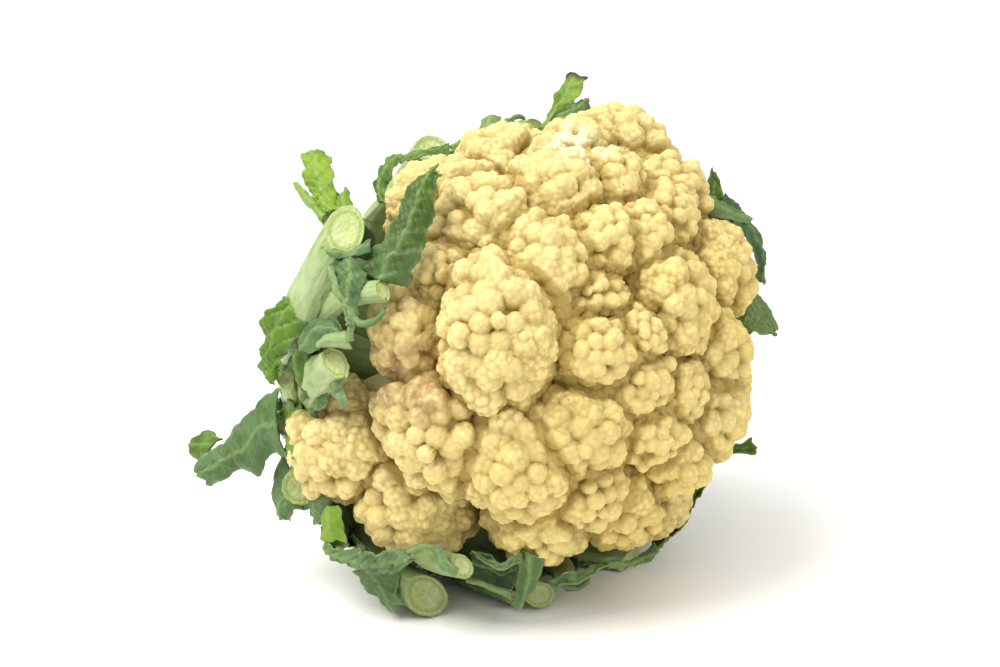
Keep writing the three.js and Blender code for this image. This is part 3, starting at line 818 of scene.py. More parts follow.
# base: azimuth and height on the core (degrees, mm). path: theta, phi and reach of the stalk.
# girth: width and depth at the root, the belly and the cut. slant: how far the cut leans, or
# cutFacing: the way it faces. wings: width left and right, where they start and end along it.
# A sheet: its edges a and b, tone outside and inside (0 dark, 0.4 waxy blue-green, 0.75 fresh,
# 1 yellow-green), bulge, ruffle and teeth in mm.
leaves = {
    "left_large_stub": {
        "base": (154, -52), "girth": ((20, 11), (24, 12), (14, 13)),
        "cutFacing": (-0.55, -0.72, 0.42),
        "path": [(142, 161, 68), (122, 163, 77), (111, 160, 78), (100, 156, 82), (89, 150, 86),
                 (82, 144, 89)],
        "wings": (8, 5, 0.25, 0.72),
        "sheets": [
            {"a": [(86, 139, 88), (90, 133, 89), (94, 125, 92), (98, 122, 95)],
             "b": [(91, 139, 90), (95, 134, 92), (98, 129, 96), (100, 125, 97)],
             "tone": (0.92, 0.85), "bulge": 1.5, "ruffle": 1.6, "teeth": 1.2},
            {"a": [(89, 139, 89), (94, 135, 93), (98, 132, 95)],
             "b": [(90, 141, 89), (94, 137, 93), (99, 132, 97)],
             "tone": (0.90, 0.8), "bulge": 1.0, "ruffle": 1.0, "teeth": 1.0},
            {"a": [(88, 138, 88), (89, 134, 88), (90, 131, 86)],
             "b": [(84, 138, 86), (86, 135, 86), (88, 132, 86)],
             "tone": (0.8, 0.7), "bulge": 0.6, "ruffle": 0.8, "teeth": 0.9},
            {"a": [(87, 150, 87), (92, 153, 86), (98, 156, 86)],
             "b": [(86, 152, 86), (88, 156, 86), (94, 158, 86)],
             "tone": (0.5, 0.45), "pale": 0.75, "bulge": 1.2, "ruffle": 0.8, "teeth": 0.5},
        ],
    },
    "left_crinkled": {
        "base": (161, -34), "girth": ((15, 8), (13, 7), (7, 7)), "slant": (0.3, 0.0),
        "path": [(135, 161, 56), (116, 160, 66), (100, 159, 77), (84, 157, 83), (73, 158, 85)],
        "wings": (6, 6, 0.3, 0.7), "rodTone": 0.75,
        "sheets": [
            {"a": [(84, 150, 90), (82, 155, 90), (81, 160, 88), (80, 165, 88)],
             "b": [(77, 151, 85), (77, 156, 86), (78, 160, 88), (78, 165, 89)],
             "tone": (0.38, 0.3), "bulge": 2.0, "ruffle": 1.8, "teeth": 0.5},
            {"a": [(85, 152, 90), (83, 157, 90), (80, 162, 89), (81, 168, 89)],
             "b": [(83, 152, 90), (81, 157, 90), (78, 162, 89), (79, 168, 89)],
             "tone": (0.42, 0.35), "pale": 0.15, "bulge": 0.8, "ruffle": 0.9, "teeth": 0.4},
            {"a": [(79, 159, 87), (77, 164, 88), (73, 163, 87), (72, 160, 86)],
             "b": [(80, 160, 87), (78, 165, 88), (74, 165, 87), (72, 162, 86)],
             "tone": (0.4, 0.3), "bulge": 0.8, "ruffle": 1.0, "teeth": 0.5},
            {"a": [(87, 145, 93), (84, 148, 92), (81, 149, 89), (77, 146, 86)],
             "b": [(87, 146, 91), (84, 150, 91), (80, 151, 90), (76, 149, 86)],
             "tone": (0.36, 0.3), "bulge": 0.7, "ruffle": 0.9, "teeth": 0.4},
        ],
    },
    "left_flap": {
        "base": (138, -34), "girth": ((18, 8), (22, 8), (8, 4)), "slant": (0, 0),
        "path": [(134, 139, 56), (114, 141, 70), (98, 144, 79), (86, 147, 82)],
        "wings": (22, 8, 0.1, 0.85),
        "sheets": [
            {"a": [(79, 153, 84), (74, 146, 86), (70, 140, 87), (71, 136, 88), (68, 131, 86),
                   (66, 128, 85)],
             "b": [(69, 157, 81), (66, 153, 83), (64, 147, 84), (64, 139, 84), (65, 130, 86)],
             "tone": (0.50, 0.6), "toneEnd": 0.66, "bulge": 2.5, "ruffle": 1.6, "teeth": 1.4},
        ],
    },
    "left_serrated": {
        "base": (172, -54), "girth": ((16, 8), (16, 8), (9, 6)), "slant": (0, 0),
        "path": [(142, 173, 70), (124, 174, 79), (113, 173, 82), (107, 171, 86)],
        "wings": (8, 8, 0.3, 0.9), "rodTone": 0.8,
        "sheets": [
            {"a": [(102, 154, 88), (106, 158, 92), (109, 163, 92), (111, 167, 91),
                   (110, 171, 88)],
             "b": [(94, 157, 83), (96, 161, 85), (99, 164, 87), (102, 167, 88), (106, 171, 89)],
             "tone": (0.74, 0.7), "bulge": 2.0, "ruffle": 1.4, "teeth": 2.0},
            {"a": [(97, 165, 88), (94, 163, 87), (91, 161, 86), (88, 161, 83), (85, 164, 83)],
             "b": [(93, 168, 87), (90, 167, 88), (87, 167, 86), (84, 168, 85)],
             "tone": (0.42, 0.4), "bulge": 1.2, "ruffle": 1.0, "teeth": 1.6},
            {"a": [(102, 166, 86), (104, 169, 86), (105, 173, 83), (107, 176, 82)],
             "b": [(98, 165, 84), (99, 170, 84), (100, 174, 83), (102, 177, 82)],
             "tone": (0.62, 0.6), "bulge": 1.0, "ruffle": 1.4, "teeth": 1.8},
        ],
    },
    "left_pale_stub": {
        "base": (178, -42), "girth": ((18, 9), (20, 9), (12, 11)), "slant": (0.4, 0.2),
        "path": [(140, 178, 61), (122, 176, 73), (104, 173, 79), (88, 171, 84)],
        "wings": (7, 7, 0.3, 0.75), "facets": 7,
        "sheets": [
            {"a": [(90, 166, 88), (87, 165, 87), (83, 165, 85)],
             "b": [(90, 167, 87), (86, 168, 87), (82, 169, 85)],
             "tone": (0.5, 0.5), "pale": 0.6, "bulge": 0.8, "ruffle": 0.4, "teeth": 0.3},
            {"a": [(91, 174, 85), (91, 177, 85), (89, 179, 85), (89, 180, 84)],
             "b": [(86, 174, 84), (87, 177, 84), (86, 179, 86), (86, 180, 86)],
             "tone": (0.45, 0.4), "pale": 0.12, "bulge": 1.0, "ruffle": 1.0, "teeth": 0.6},
            {"a": [(101, 174, 81), (103, 176, 81), (103, 179, 81)],
             "b": [(96, 174, 81), (96, 177, 81), (97, 180, 82)],
             "tone": (0.42, 0.35), "bulge": 0.8, "ruffle": 1.0, "teeth": 0.8},
        ],
    },
    "left_long_blade": {
        "base": (189, -54), "girth": ((16, 8), (17, 8), (8, 6)), "slant": (0, 0),
        "path": [(144, 188, 72), (130, 184, 82), (121, 181, 85)],
        "wings": (8, 8, 0.3, 0.9),
        "sheets": [
            {"a": [(117, 172, 84), (123, 175, 92), (129, 181, 104), (132, 184, 116)],
             "b": [(117, 189, 88), (121, 187, 91), (125, 191, 98), (128, 189, 102),
                   (131, 190, 114)],
             "tone": (0.46, 0.6), "bulge": 3.5, "ruffle": 0.8, "teeth": 0.9},
            {"a": [(117, 172, 84), (119, 178, 84), (120, 185, 86), (119, 188, 88)],
             "b": [(114, 172, 82), (111, 176, 80), (111, 183, 84), (112, 189, 87)],
             "tone": (0.84, 0.8), "bulge": 1.0, "ruffle": 1.2, "teeth": 1.2},
            {"a": [(133, 181, 105), (136, 178, 110), (138, 179, 116)],
             "b": [(133, 183, 112), (136, 184, 116), (138, 182, 119)],
             "tone": (0.66, 0.62), "bulge": 0.8, "ruffle": 0.8, "teeth": 0.8},
        ],
    },
    "lower_left_stub": {
        "base": (203, -46), "girth": ((16, 9), (19, 10), (12, 11)), "slant": (-0.1, 0.3),
        "path": [(144, 202, 66), (134, 200, 78), (126, 198, 85), (119, 197, 89)],
        "wings": (7, 7, 0.3, 0.8),
        "sheets": [
            {"a": [(126, 189, 88), (127, 193, 93), (126, 197, 97), (125, 202, 99)],
             "b": [(119, 202, 87), (121, 203, 91), (122, 202, 94), (123, 204, 96)],
             "tone": (0.45, 0.5), "pale": 0.1, "bulge": 2.0, "ruffle": 1.2, "teeth": 0.9},
        ],
    },
    "lower_left_flap": {
        "base": (210, -36), "girth": ((13, 7), (14, 6), (6, 4)), "slant": (0, 0),
        "path": [(138, 209, 60), (126, 205, 76), (118, 201, 84)],
        "wings": (7, 7, 0.3, 0.9),
        "sheets": [
            {"a": [(115, 198, 84), (117, 200, 89), (116, 205, 91)],
             "b": [(110, 199, 83), (110, 202, 87), (112, 205, 92)],
             "tone": (0.4, 0.35), "bulge": 1.0, "ruffle": 1.0, "teeth": 0.8},
            {"a": [(111, 202, 88), (111, 204, 92), (111, 207, 95)],
             "b": [(105, 202, 86), (105, 205, 89), (105, 209, 92)],
             "tone": (0.88, 0.8), "bulge": 0.8, "ruffle": 0.8, "teeth": 0.9},
        ],
    },
    "lower_left_wavy": {
        "base": (219, -55), "girth": ((16, 8), (17, 7), (7, 4)), "slant": (0, 0),
        "path": [(144, 217, 73), (126, 213, 86), (113, 208, 91)],
        "wings": (8, 8, 0.3, 0.9),
        "sheets": [
            {"a": [(110, 207, 94), (105, 210, 94), (99, 212, 91), (92, 214, 89), (90, 215, 90)],
             "b": [(111, 210, 95), (106, 212, 97), (101, 216, 95), (95, 217, 92),
                   (91, 216, 91)],
             "tone": (0.42, 0.36), "bulge": 1.8, "ruffle": 1.8, "teeth": 0.8},
            {"a": [(113, 206, 92), (110, 208, 92), (106, 210, 93)],
             "b": [(112, 208, 94), (109, 210, 95), (106, 211, 95)],
             "tone": (0.4, 0.36), "bulge": 0.8, "ruffle": 1.2, "teeth": 1.0},
        ],
    },
    "bottom_large_stub": {
        "base": (234, -50), "girth": ((22, 11), (25, 12), (17, 14)), "slant": (0.1, 0.2),
        "path": [(142, 233, 68), (124, 229, 82), (112, 228, 87), (99, 228, 91)],
        # the low stalk tone and paleness of this stub are painted shade on its stalk and its cut
        "wings": (7, 7, 0.3, 0.75), "rodTone": 0.55, "rodPaleAndCutShade": 0.45,
        "sheets": [
            {"a": [(112, 218, 94), (110, 222, 97), (106, 224, 99), (103, 225, 100)],
             "b": [(105, 219, 88), (102, 222, 90), (101, 223, 94), (100, 224, 98)],
             "tone": (0.46, 0.4), "bulge": 1.5, "ruffle": 1.0, "teeth": 0.8},
        ],
    },
    "bottom_small_stub": {
        "base": (226, -36), "girth": ((14, 8), (15, 7), (9, 8)), "slant": (0.1, 0.2),
        "path": [(134, 227, 57), (112, 225, 74), (96, 222, 82), (82, 222, 89)],
        "wings": (6, 6, 0.3, 0.8), "rodTone": 0.7, "rodPaleAndCutShade": 0.5,
        "sheets": [
            {"a": [(91, 214, 88), (86, 215, 86), (83, 217, 87), (82, 218, 91), (80, 220, 93)],
             "b": [(91, 215, 89), (86, 216, 87), (85, 217, 89), (84, 219, 92), (82, 221, 94)],
             "tone": (0.42, 0.4), "bulge": 0.8, "ruffle": 1.0, "teeth": 0.5},
        ],
    },
    "bottom_cupped": {
        "base": (244, -40), "girth": ((17, 9), (20, 8), (7, 5)), "slant": (0, 0),
        "path": [(138, 245, 60), (116, 245, 76), (100, 244, 81), (90, 244, 85)],
        "wings": (6, 6, 0.3, 0.85), "rodTone": 0.45, "rodPaleAndCutShade": 0.2,
        "sheets": [
            {"a": [(86, 226, 79), (82, 229, 80), (81, 232, 81), (76, 232, 78)],
             "b": [(93, 233, 83), (91, 236, 84), (89, 239, 85), (86, 240, 86)],
             "tone": (0.1, 0.1), "bulge": -2.0, "ruffle": 0.8, "teeth": 0.4},
            {"a": [(83, 224, 81), (80, 226, 83), (78, 229, 84), (74, 231, 81)],
             "b": [(82, 225, 83), (79, 227, 86), (77, 229, 86), (74, 231, 84)],
             "tone": (0.42, 0.4), "bulge": 0.8, "ruffle": 1.0, "teeth": 0.4},
            {"a": [(89, 229, 85), (86, 231, 86), (84, 233, 87), (82, 236, 88)],
             "b": [(89, 230, 86), (86, 231, 88), (84, 234, 89), (82, 236, 91)],
             "tone": (0.42, 0.38), "bulge": 0.5, "ruffle": 0.7, "teeth": 0.3},
            {"a": [(75, 231, 78), (78, 234, 84), (82, 237, 88), (84, 238, 91)],
             "b": [(71, 235, 82), (75, 238, 85), (80, 240, 87), (84, 241, 90)],
             "tone": (0.44, 0.4), "bulge": 1.4, "ruffle": 0.9, "teeth": 0.4},
        ],
    },
    "bottom_stub": {
        "base": (258, -54), "girth": ((17, 9), (20, 9), (11, 9)), "slant": (0, 0.2),
        "path": [(144, 258, 67), (122, 257, 73), (106, 254, 74), (86, 248, 84)],
        "wings": (6, 6, 0.3, 0.7), "rodTone": 0.8, "rodPaleAndCutShade": 0.55,
        "sheets": [],
    },
    "bottom_ribbon": {
        "base": (264, -38), "girth": ((14, 7), (16, 7), (6, 4)), "slant": (0, 0),
        "path": [(132, 264, 50), (108, 263, 63), (92, 260, 73), (80, 252, 80)],
        "wings": (6, 6, 0.3, 0.9),
        "sheets": [
            {"a": [(78, 244, 84), (74, 245, 83), (71, 248, 83), (69, 251, 81), (67, 257, 82)],
             "b": [(76, 244, 86), (73, 246, 87), (70, 248, 86), (68, 251, 84), (67, 256, 84)],
             "tone": (0.48, 0.42), "bulge": 0.8, "ruffle": 1.2, "teeth": 0.5},
            {"a": [(76, 246, 83), (75, 249, 84), (73, 251, 83)],
             "b": [(79, 249, 85), (77, 251, 86), (74, 252, 85)],
             "tone": (0.15, 0.2), "bulge": 0.8, "ruffle": 0.8, "teeth": 0.5},
            {"a": [(68, 252, 82), (67, 258, 83), (65, 264, 82), (64, 267, 81)],
             "b": [(68, 253, 84), (67, 259, 85), (66, 264, 85), (66, 266, 83)],
             "tone": (0.25, 0.3), "bulge": 0.7, "ruffle": 1.2, "teeth": 0.6},
        ],
    },
    "bottom_resting": {
        "base": (279, -50), "girth": ((20, 10), (26, 9), (14, 7)), "slant": (0, 0),
        "path": [(142, 279, 65), (122, 278, 73), (104, 278, 73), (88, 281, 81)],
        "wings": (9, 9, 0.25, 0.95),
        "sheets": [
            {"a": [(84, 288, 80), (77, 291, 77), (74, 299, 75), (72, 305, 75)],
             "b": [(84, 278, 82), (76, 287, 81), (73, 295, 79), (71, 303, 78)],
             "tone": (0.62, 0.55), "bulge": 1.2, "ruffle": 1.2, "teeth": 1.2},
        ],
    },
    "right_low_resting": {
        "base": (301, -52), "girth": ((20, 10), (32, 9), (15, 8)), "slant": (0, 0),
        "path": [(142, 301, 67), (120, 302, 80), (102, 302, 83), (89, 304, 81)],
        "wings": (9, 9, 0.25, 0.95),
        "sheets": [
            {"a": [(88, 311, 80), (75, 312, 76), (70, 315, 80), (67, 318, 86)],
             "b": [(86, 300, 80), (76, 308, 76), (71, 312, 80), (67, 314, 88)],
             "tone": (0.7, 0.62), "bulge": 0.8, "ruffle": 0.8, "teeth": 1.0},
        ],
    },
    "right_torn": {
        "base": (325, -46), "girth": ((20, 10), (32, 9), (13, 7)), "slant": (0, 0),
        "path": [(142, 326, 64), (122, 329, 77), (104, 332, 83), (90, 335, 85)],
        "wings": (14, 14, 0.1, 0.75),
        "sheets": [
            {"a": [(84, 345, 88), (74, 358, 93), (73, 354, 95), (73, 350, 98), (73, 347, 99)],
             "b": [(84, 330, 86), (72, 345, 86), (71, 346, 87), (72, 346, 91), (72, 346, 98)],
             "tone": (0.5, 0.6), "pale": 0.2, "bulge": 1.5, "ruffle": 1.0, "teeth": 0.8},
        ],
    },
    "right_upper_blade": {
        "base": (350, -54), "girth": ((22, 10), (36, 9), (12, 7)), "slant": (0, 0),
        "path": [(142, 352, 71), (122, 356, 84), (104, 3, 87), (90, 8, 88)],
        "wings": (9, 9, 0.25, 0.95),
        "sheets": [
            {"a": [(69, 23, 85), (69, 25, 89), (68, 27, 93)],
             "b": [(70, 17, 90), (69, 21, 92), (69, 25, 94)],
             "tone": (0.7, 0.66), "bulge": 0.8, "ruffle": 0.8, "teeth": 0.8},
            {"a": [(68, 24, 84), (68, 21, 88), (69, 17, 90), (70, 12, 98)],
             "b": [(67, 22, 81), (67, 18, 83), (67, 14, 88), (69, 11, 95)],
             "tone": (0.48, 0.44), "pale": 0.15, "bulge": 1.0, "ruffle": 0.8, "teeth": 0.5},
            {"a": [(70, 20, 93), (71, 14, 97), (71, 7, 99), (72, 4, 100), (74, 357, 97)],
             "b": [(68, 18, 83), (68, 13, 89), (69, 7, 92), (71, 2, 94), (73, 358, 95)],
             "tone": (0.3, 0.3), "bulge": 1.2, "ruffle": 1.0, "teeth": 1.0},
            {"a": [(92, 2, 87), (82, 4, 88), (74, 4, 90), (70, 8, 92)],
             "b": [(92, 16, 88), (82, 18, 88), (74, 18, 88), (69, 20, 88)],
             "tone": (0.45, 0.35), "bulge": 1.5, "ruffle": 1.2, "teeth": 0.8},
        ],
    },
    "far_stub": {
        "base": (20, -46), "girth": ((20, 11), (34, 11), (14, 12)), "slant": (0.1, 0.1),
        "path": [(142, 22, 62), (122, 27, 76), (104, 32, 82), (88, 36, 83)],
        "wings": (18, 18, 0.1, 0.6), "sheets": [],
    },
    "top_bright_blade": {
        "base": (52, -54), "girth": ((20, 10), (30, 9), (9, 6)), "slant": (0, 0),
        "path": [(142, 56, 70), (122, 60, 83), (104, 62, 82), (92, 62, 79)],
        "wings": (15, 15, 0.1, 0.6),
        "sheets": [
            {"a": [(91, 62, 78), (88, 61, 84), (86, 61, 91), (85, 60, 97)],
             "b": [(84, 62, 75), (82, 61, 82), (80, 60, 88), (80, 59, 96)],
             "tone": (0.88, 0.84), "bulge": 1.0, "ruffle": 0.8, "teeth": 0.7, "burn": 1.0},
            {"a": [(85, 62, 78), (84, 62, 83), (82, 59, 87), (82, 57, 89)],
             "b": [(80, 63, 75), (78, 61, 78), (76, 59, 80), (78, 57, 85)],
             "tone": (0.5, 0.2), "bulge": 1.6, "ruffle": 1.2, "teeth": 1.0},
            {"a": [(82, 65, 76), (80, 64, 80), (79, 62, 81), (78, 61, 80)],
             "b": [(79, 66, 74), (77, 65, 75), (75, 62, 76), (75, 62, 78)],
             "tone": (0.4, 0.4), "bulge": 0.8, "ruffle": 0.8, "teeth": 0.6},
        ],
    },
    "top_stub": {
        "base": (88, -46), "girth": ((20, 10), (28, 10), (10, 10)), "slant": (0, 0),
        "path": [(138, 74, 66), (122, 73, 75), (107, 72, 73), (91, 74, 69), (80, 77, 70)],
        "wings": (3, 3, 0.25, 0.6),
        "sheets": [
            {"a": [(85, 87, 76), (84, 90, 71), (81, 93, 67)],
             "b": [(82, 83, 76), (79, 88, 71), (78, 93, 66)],
             "tone": (0.48, 0.45), "pale": 0.3, "bulge": 1.0, "ruffle": 0.8, "teeth": 0.5},
            {"a": [(82, 84, 73), (81, 88, 69), (76, 88, 65)],
             "b": [(81, 80, 75), (77, 83, 70), (74, 88, 65)],
             "tone": (0.35, 0.3), "bulge": 1.0, "ruffle": 0.8, "teeth": 0.8},
            {"a": [(94, 92, 70), (92, 87, 72), (89, 84, 74)],
             "b": [(91, 94, 68), (89, 91, 68), (84, 89, 69)],
             "tone": (0.72, 0.6), "bulge": 0.8, "ruffle": 0.8, "teeth": 0.8},
            {"a": [(85, 78, 75), (85, 75, 77), (84, 73, 77)],
             "b": [(85, 78, 74), (84, 75, 76), (84, 73, 76)],
             "tone": (0.6, 0.6), "bulge": 0.3, "ruffle": 0.4, "teeth": 0.3},
        ],
    },
    "top_left_stub": {
        "base": (120, -52), "girth": ((22, 10), (30, 10), (13, 11)), "slant": (0, 0),
        "path": [(146, 97, 69), (131, 86, 72), (117, 88, 71), (101, 92, 73)],
        "wings": (3, 14, 0.05, 0.5),
        "sheets": [
            {"a": [(100, 105, 75), (98, 99, 73), (95, 91, 72)],
             "b": [(98, 107, 73), (95, 102, 71), (91, 96, 67)],
             "tone": (0.7, 0.6), "bulge": 0.6, "ruffle": 0.6, "teeth": 0.5},
            {"a": [(100, 103, 75), (101, 108, 76), (100, 115, 75), (96, 122, 70)],
             "b": [(98, 106, 73), (97, 111, 73), (95, 118, 71), (93, 124, 69)],
             "tone": (0.68, 0.55), "bulge": 0.8, "ruffle": 1.0, "teeth": 1.5},
        ],
    },
}


# A smooth line through points, sampled evenly.
def flow(points, count):
    p = np.asarray(points, dtype=float)
    t = np.concatenate([[0], np.cumsum(np.linalg.norm(np.diff(p, axis=0), axis=1))])
    slope = np.gradient(p, t, axis=0)
    s = np.linspace(0, t[-1], count)
    k = np.clip(np.searchsorted(t, s, side="right") - 1, 0, len(t) - 2)
    span = (t[k + 1] - t[k])[:, None]
    x = ((s - t[k]) / (t[k + 1] - t[k]))[:, None]
    return ((2 * x ** 3 - 3 * x ** 2 + 1) * p[k] + (x ** 3 - 2 * x ** 2 + x) * span * slope[k]
            + (3 * x ** 2 - 2 * x ** 3) * p[k + 1] + (x ** 3 - x ** 2) * span * slope[k + 1])


# Smooth random values along a line: a few sine waves of falling size.
def ripple(rng, s, wave):
    total = np.zeros_like(s)
    for k in range(3):
        total += 0.55 ** k * np.sin(s / wave * math.tau * 1.9 ** k + rng.uniform(0, math.tau))
    return total / 1.6


# Ragged, toothed margin: rounded teeth with notches between them.
def toothed(rng, s, size):
    phase = s / leafStyle["toothGap"] * math.pi + 2.2 * ripple(rng, s, 23 * mm)
    teeth = np.abs(np.sin(phase)) - 0.6
    toothy = 0.35 * teeth * (ripple(rng, s, 17 * mm) + 0.6)
    return size * mm * (toothy + 0.7 * ripple(rng, s, 15 * mm))


def makeSheet(rng, sheet):
    step = leafStyle["step"]
    a0 = np.array([headPoint(*p) for p in sheet["a"]]) if "a" in sheet else sheet["aPoints"]
    b0 = np.array([headPoint(*p) for p in sheet["b"]]) if "b" in sheet else sheet["bPoints"]
    length = np.linalg.norm(np.diff((a0[[0, -1]] + b0[[0, -1]]) / 2, axis=0)) * 1.15
    rows = max(8, int(length / step))
    a, b = flow(a0, rows + 1), flow(b0, rows + 1)
    width = np.linalg.norm(a - b, axis=1)
    columns = max(6, int(width.max() / step))
    middle = (a + b) / 2
    outward = unit(middle - headCentre)
    alongMid = unit(np.gradient(middle, axis=0))
    if (np.cross(alongMid, b - a) * outward).sum() < 0:
        a, b = b, a
    s = np.concatenate([[0], np.cumsum(np.linalg.norm(np.diff(middle, axis=0), axis=1))])
    across = (b - a) / np.maximum(width, 1e-6)[:, None]
    size = sheet["teeth"] * np.minimum(1, width / (6 * mm))
    a = a - across * toothed(rng, s, size)[:, None]
    b = b + across * toothed(rng, s, size)[:, None]
    v = np.linspace(0, 1, columns + 1)
    grid = a[:, None] * (1 - v)[None, :, None] + b[:, None] * v[None, :, None]
    # the free end is torn
    u = np.linspace(0, 1, rows + 1)
    torn = toothed(rng, v * width.mean() * 1.4, sheet["teeth"] * 1.2)
    tornBy = torn[None, :] * smooth((u - 0.55) / 0.45)[:, None]
    grid = grid + alongMid[:, None] * tornBy[..., None]
    tu, tv = np.gradient(grid, axis=0), np.gradient(grid, axis=1)
    normal = np.cross(tu, tv)
    normal = normal / np.maximum(np.linalg.norm(normal, axis=2, keepdims=True), 1e-12)
    side = 2 * v[None, :] - 1
    x = side * width[:, None] / 2
    sAll = np.repeat(s[:, None], columns + 1, axis=1)
    margin = np.abs(side) ** 2.2
    wave, (crumple, fineCrumple) = leafStyle["wave"], leafStyle["crumples"]
    lift = sheet["bulge"] * mm * (1 - side ** 2) * np.ones_like(sAll)
    lift += sheet["ruffle"] * mm * margin * np.where(side < 0, ripple(rng, sAll, wave),
                                                     ripple(rng, sAll, wave * 0.9))
    lift += 0.45 * sheet["ruffle"] * mm * ripple(rng, sAll + 0.7 * x, crumple)
    lift += 0.25 * sheet["ruffle"] * mm * ripple(rng, 1.3 * sAll - 1.6 * x, fineCrumple)
    # midrib and side veins
    gap = leafStyle["veinGap"]
    rib = np.exp(-(x / (leafStyle["ribHalf"] + 0.40 * mm * (1 - u)[:, None])) ** 2)
    q = sAll - np.abs(x) * leafStyle["veinSlant"] + np.where(x < 0, 0.42 * gap, 0) \
        + 0.8 * mm * ripple(rng, np.abs(x), 9 * mm)
    off = (q / gap - np.round(q / gap)) * gap
    thin = np.clip(1.15 - np.abs(side), 0.25, 1)
    veins = np.exp(-(off / (leafStyle["veinHalf"] * thin)) ** 2) * thin
    vein = np.maximum(rib, 0.8 * veins)
    rise = leafStyle["veinRise"]
    lift += rise * vein + rise * np.abs(off / gap) * 2
    grid = grid + normal * lift[..., None]
    tu, tv = np.gradient(grid, axis=0), np.gradient(grid, axis=1)
    normal = np.cross(tu, tv)
    normal = normal / np.maximum(np.linalg.norm(normal, axis=2, keepdims=True), 1e-12)
    thick = leafStyle["thick"] * (1 - 0.45 * margin + 0.5 * rib)
    outer = grid + normal * thick[..., None] / 2
    inner = grid - normal * thick[..., None] / 2
    n = (rows + 1) * (columns + 1)
    ids = np.arange(n).reshape(rows + 1, columns + 1)
    quads = np.stack((ids[:-1, :-1], ids[1:, :-1], ids[1:, 1:], ids[:-1, 1:]), -1).reshape(-1, 4)
    ring = np.concatenate((ids[:, 0], ids[-1, 1:], ids[-2::-1, -1], ids[0, -2:0:-1]))
    after = np.roll(ring, -1)
    rim = np.stack((after, ring, ring + n, after + n), 1)
    faces = np.concatenate((quads, quads[:, ::-1] + n, rim))
    edge = np.clip(1 - np.minimum((1 - np.abs(side)) * width[:, None] / 2, s[-1] - sAll)
                   / (0.9 * mm), 0, 1)
    toneOut, toneIn = sheet["tone"]
    toneEnd = sheet.get("toneEnd", toneOut)
    tones = toneOut + (toneEnd - toneOut) * smooth(u)[:, None] * np.ones_like(sAll)
    burn = sheet.get("burn", 0) * smooth((u - 0.86) / 0.12)[:, None] * np.ones_like(sAll)
    both = lambda value: np.concatenate((value.ravel(), value.ravel()))
    marks = {
        "tone": np.concatenate((tones.ravel(), np.full(n, toneIn))),
        "pale": np.full(2 * n, sheet.get("pale", 0.0)),
        "vein": both(vein), "edge": both(edge), "burn": both(burn),
        "cut": np.zeros(2 * n), "radial": np.zeros(2 * n),
        "runX": both(x / mm), "runY": both(sAll / mm),
    }
    points = np.concatenate((outer.reshape(-1, 3), inner.reshape(-1, 3)))
    return points, faces, np.zeros((0, 3), dtype=int), marks


def stalkLine(leaf, count=160):
    azimuth, height = math.radians(leaf["base"][0]), leaf["base"][1] * mm
    root = headCentre + leafStyle["coreRadius"] * (math.cos(azimuth) * rightDir
                                                   + math.sin(azimuth) * topDir) \
        + height * crownDir
    return flow([root] + [headPoint(*p) for p in leaf["path"]], count)


def girthAt(leaf, t):
    root, belly, cut = (np.array(g) for g in leaf["girth"])
    early = smooth(t / leafStyle["bellyAt"])[:, None]
    late = smooth((t - leafStyle["bellyAt"]) / (1 - leafStyle["bellyAt"]))[:, None]
    return (root + (belly - root) * early + (cut - belly) * late) * mm


def frameAlong(line):
    along = unit(np.gradient(line, axis=0))
    out = line - headCentre
    out = unit(out - (out * along).sum(1, keepdims=True) * along)
    return along, out, np.cross(along, out)


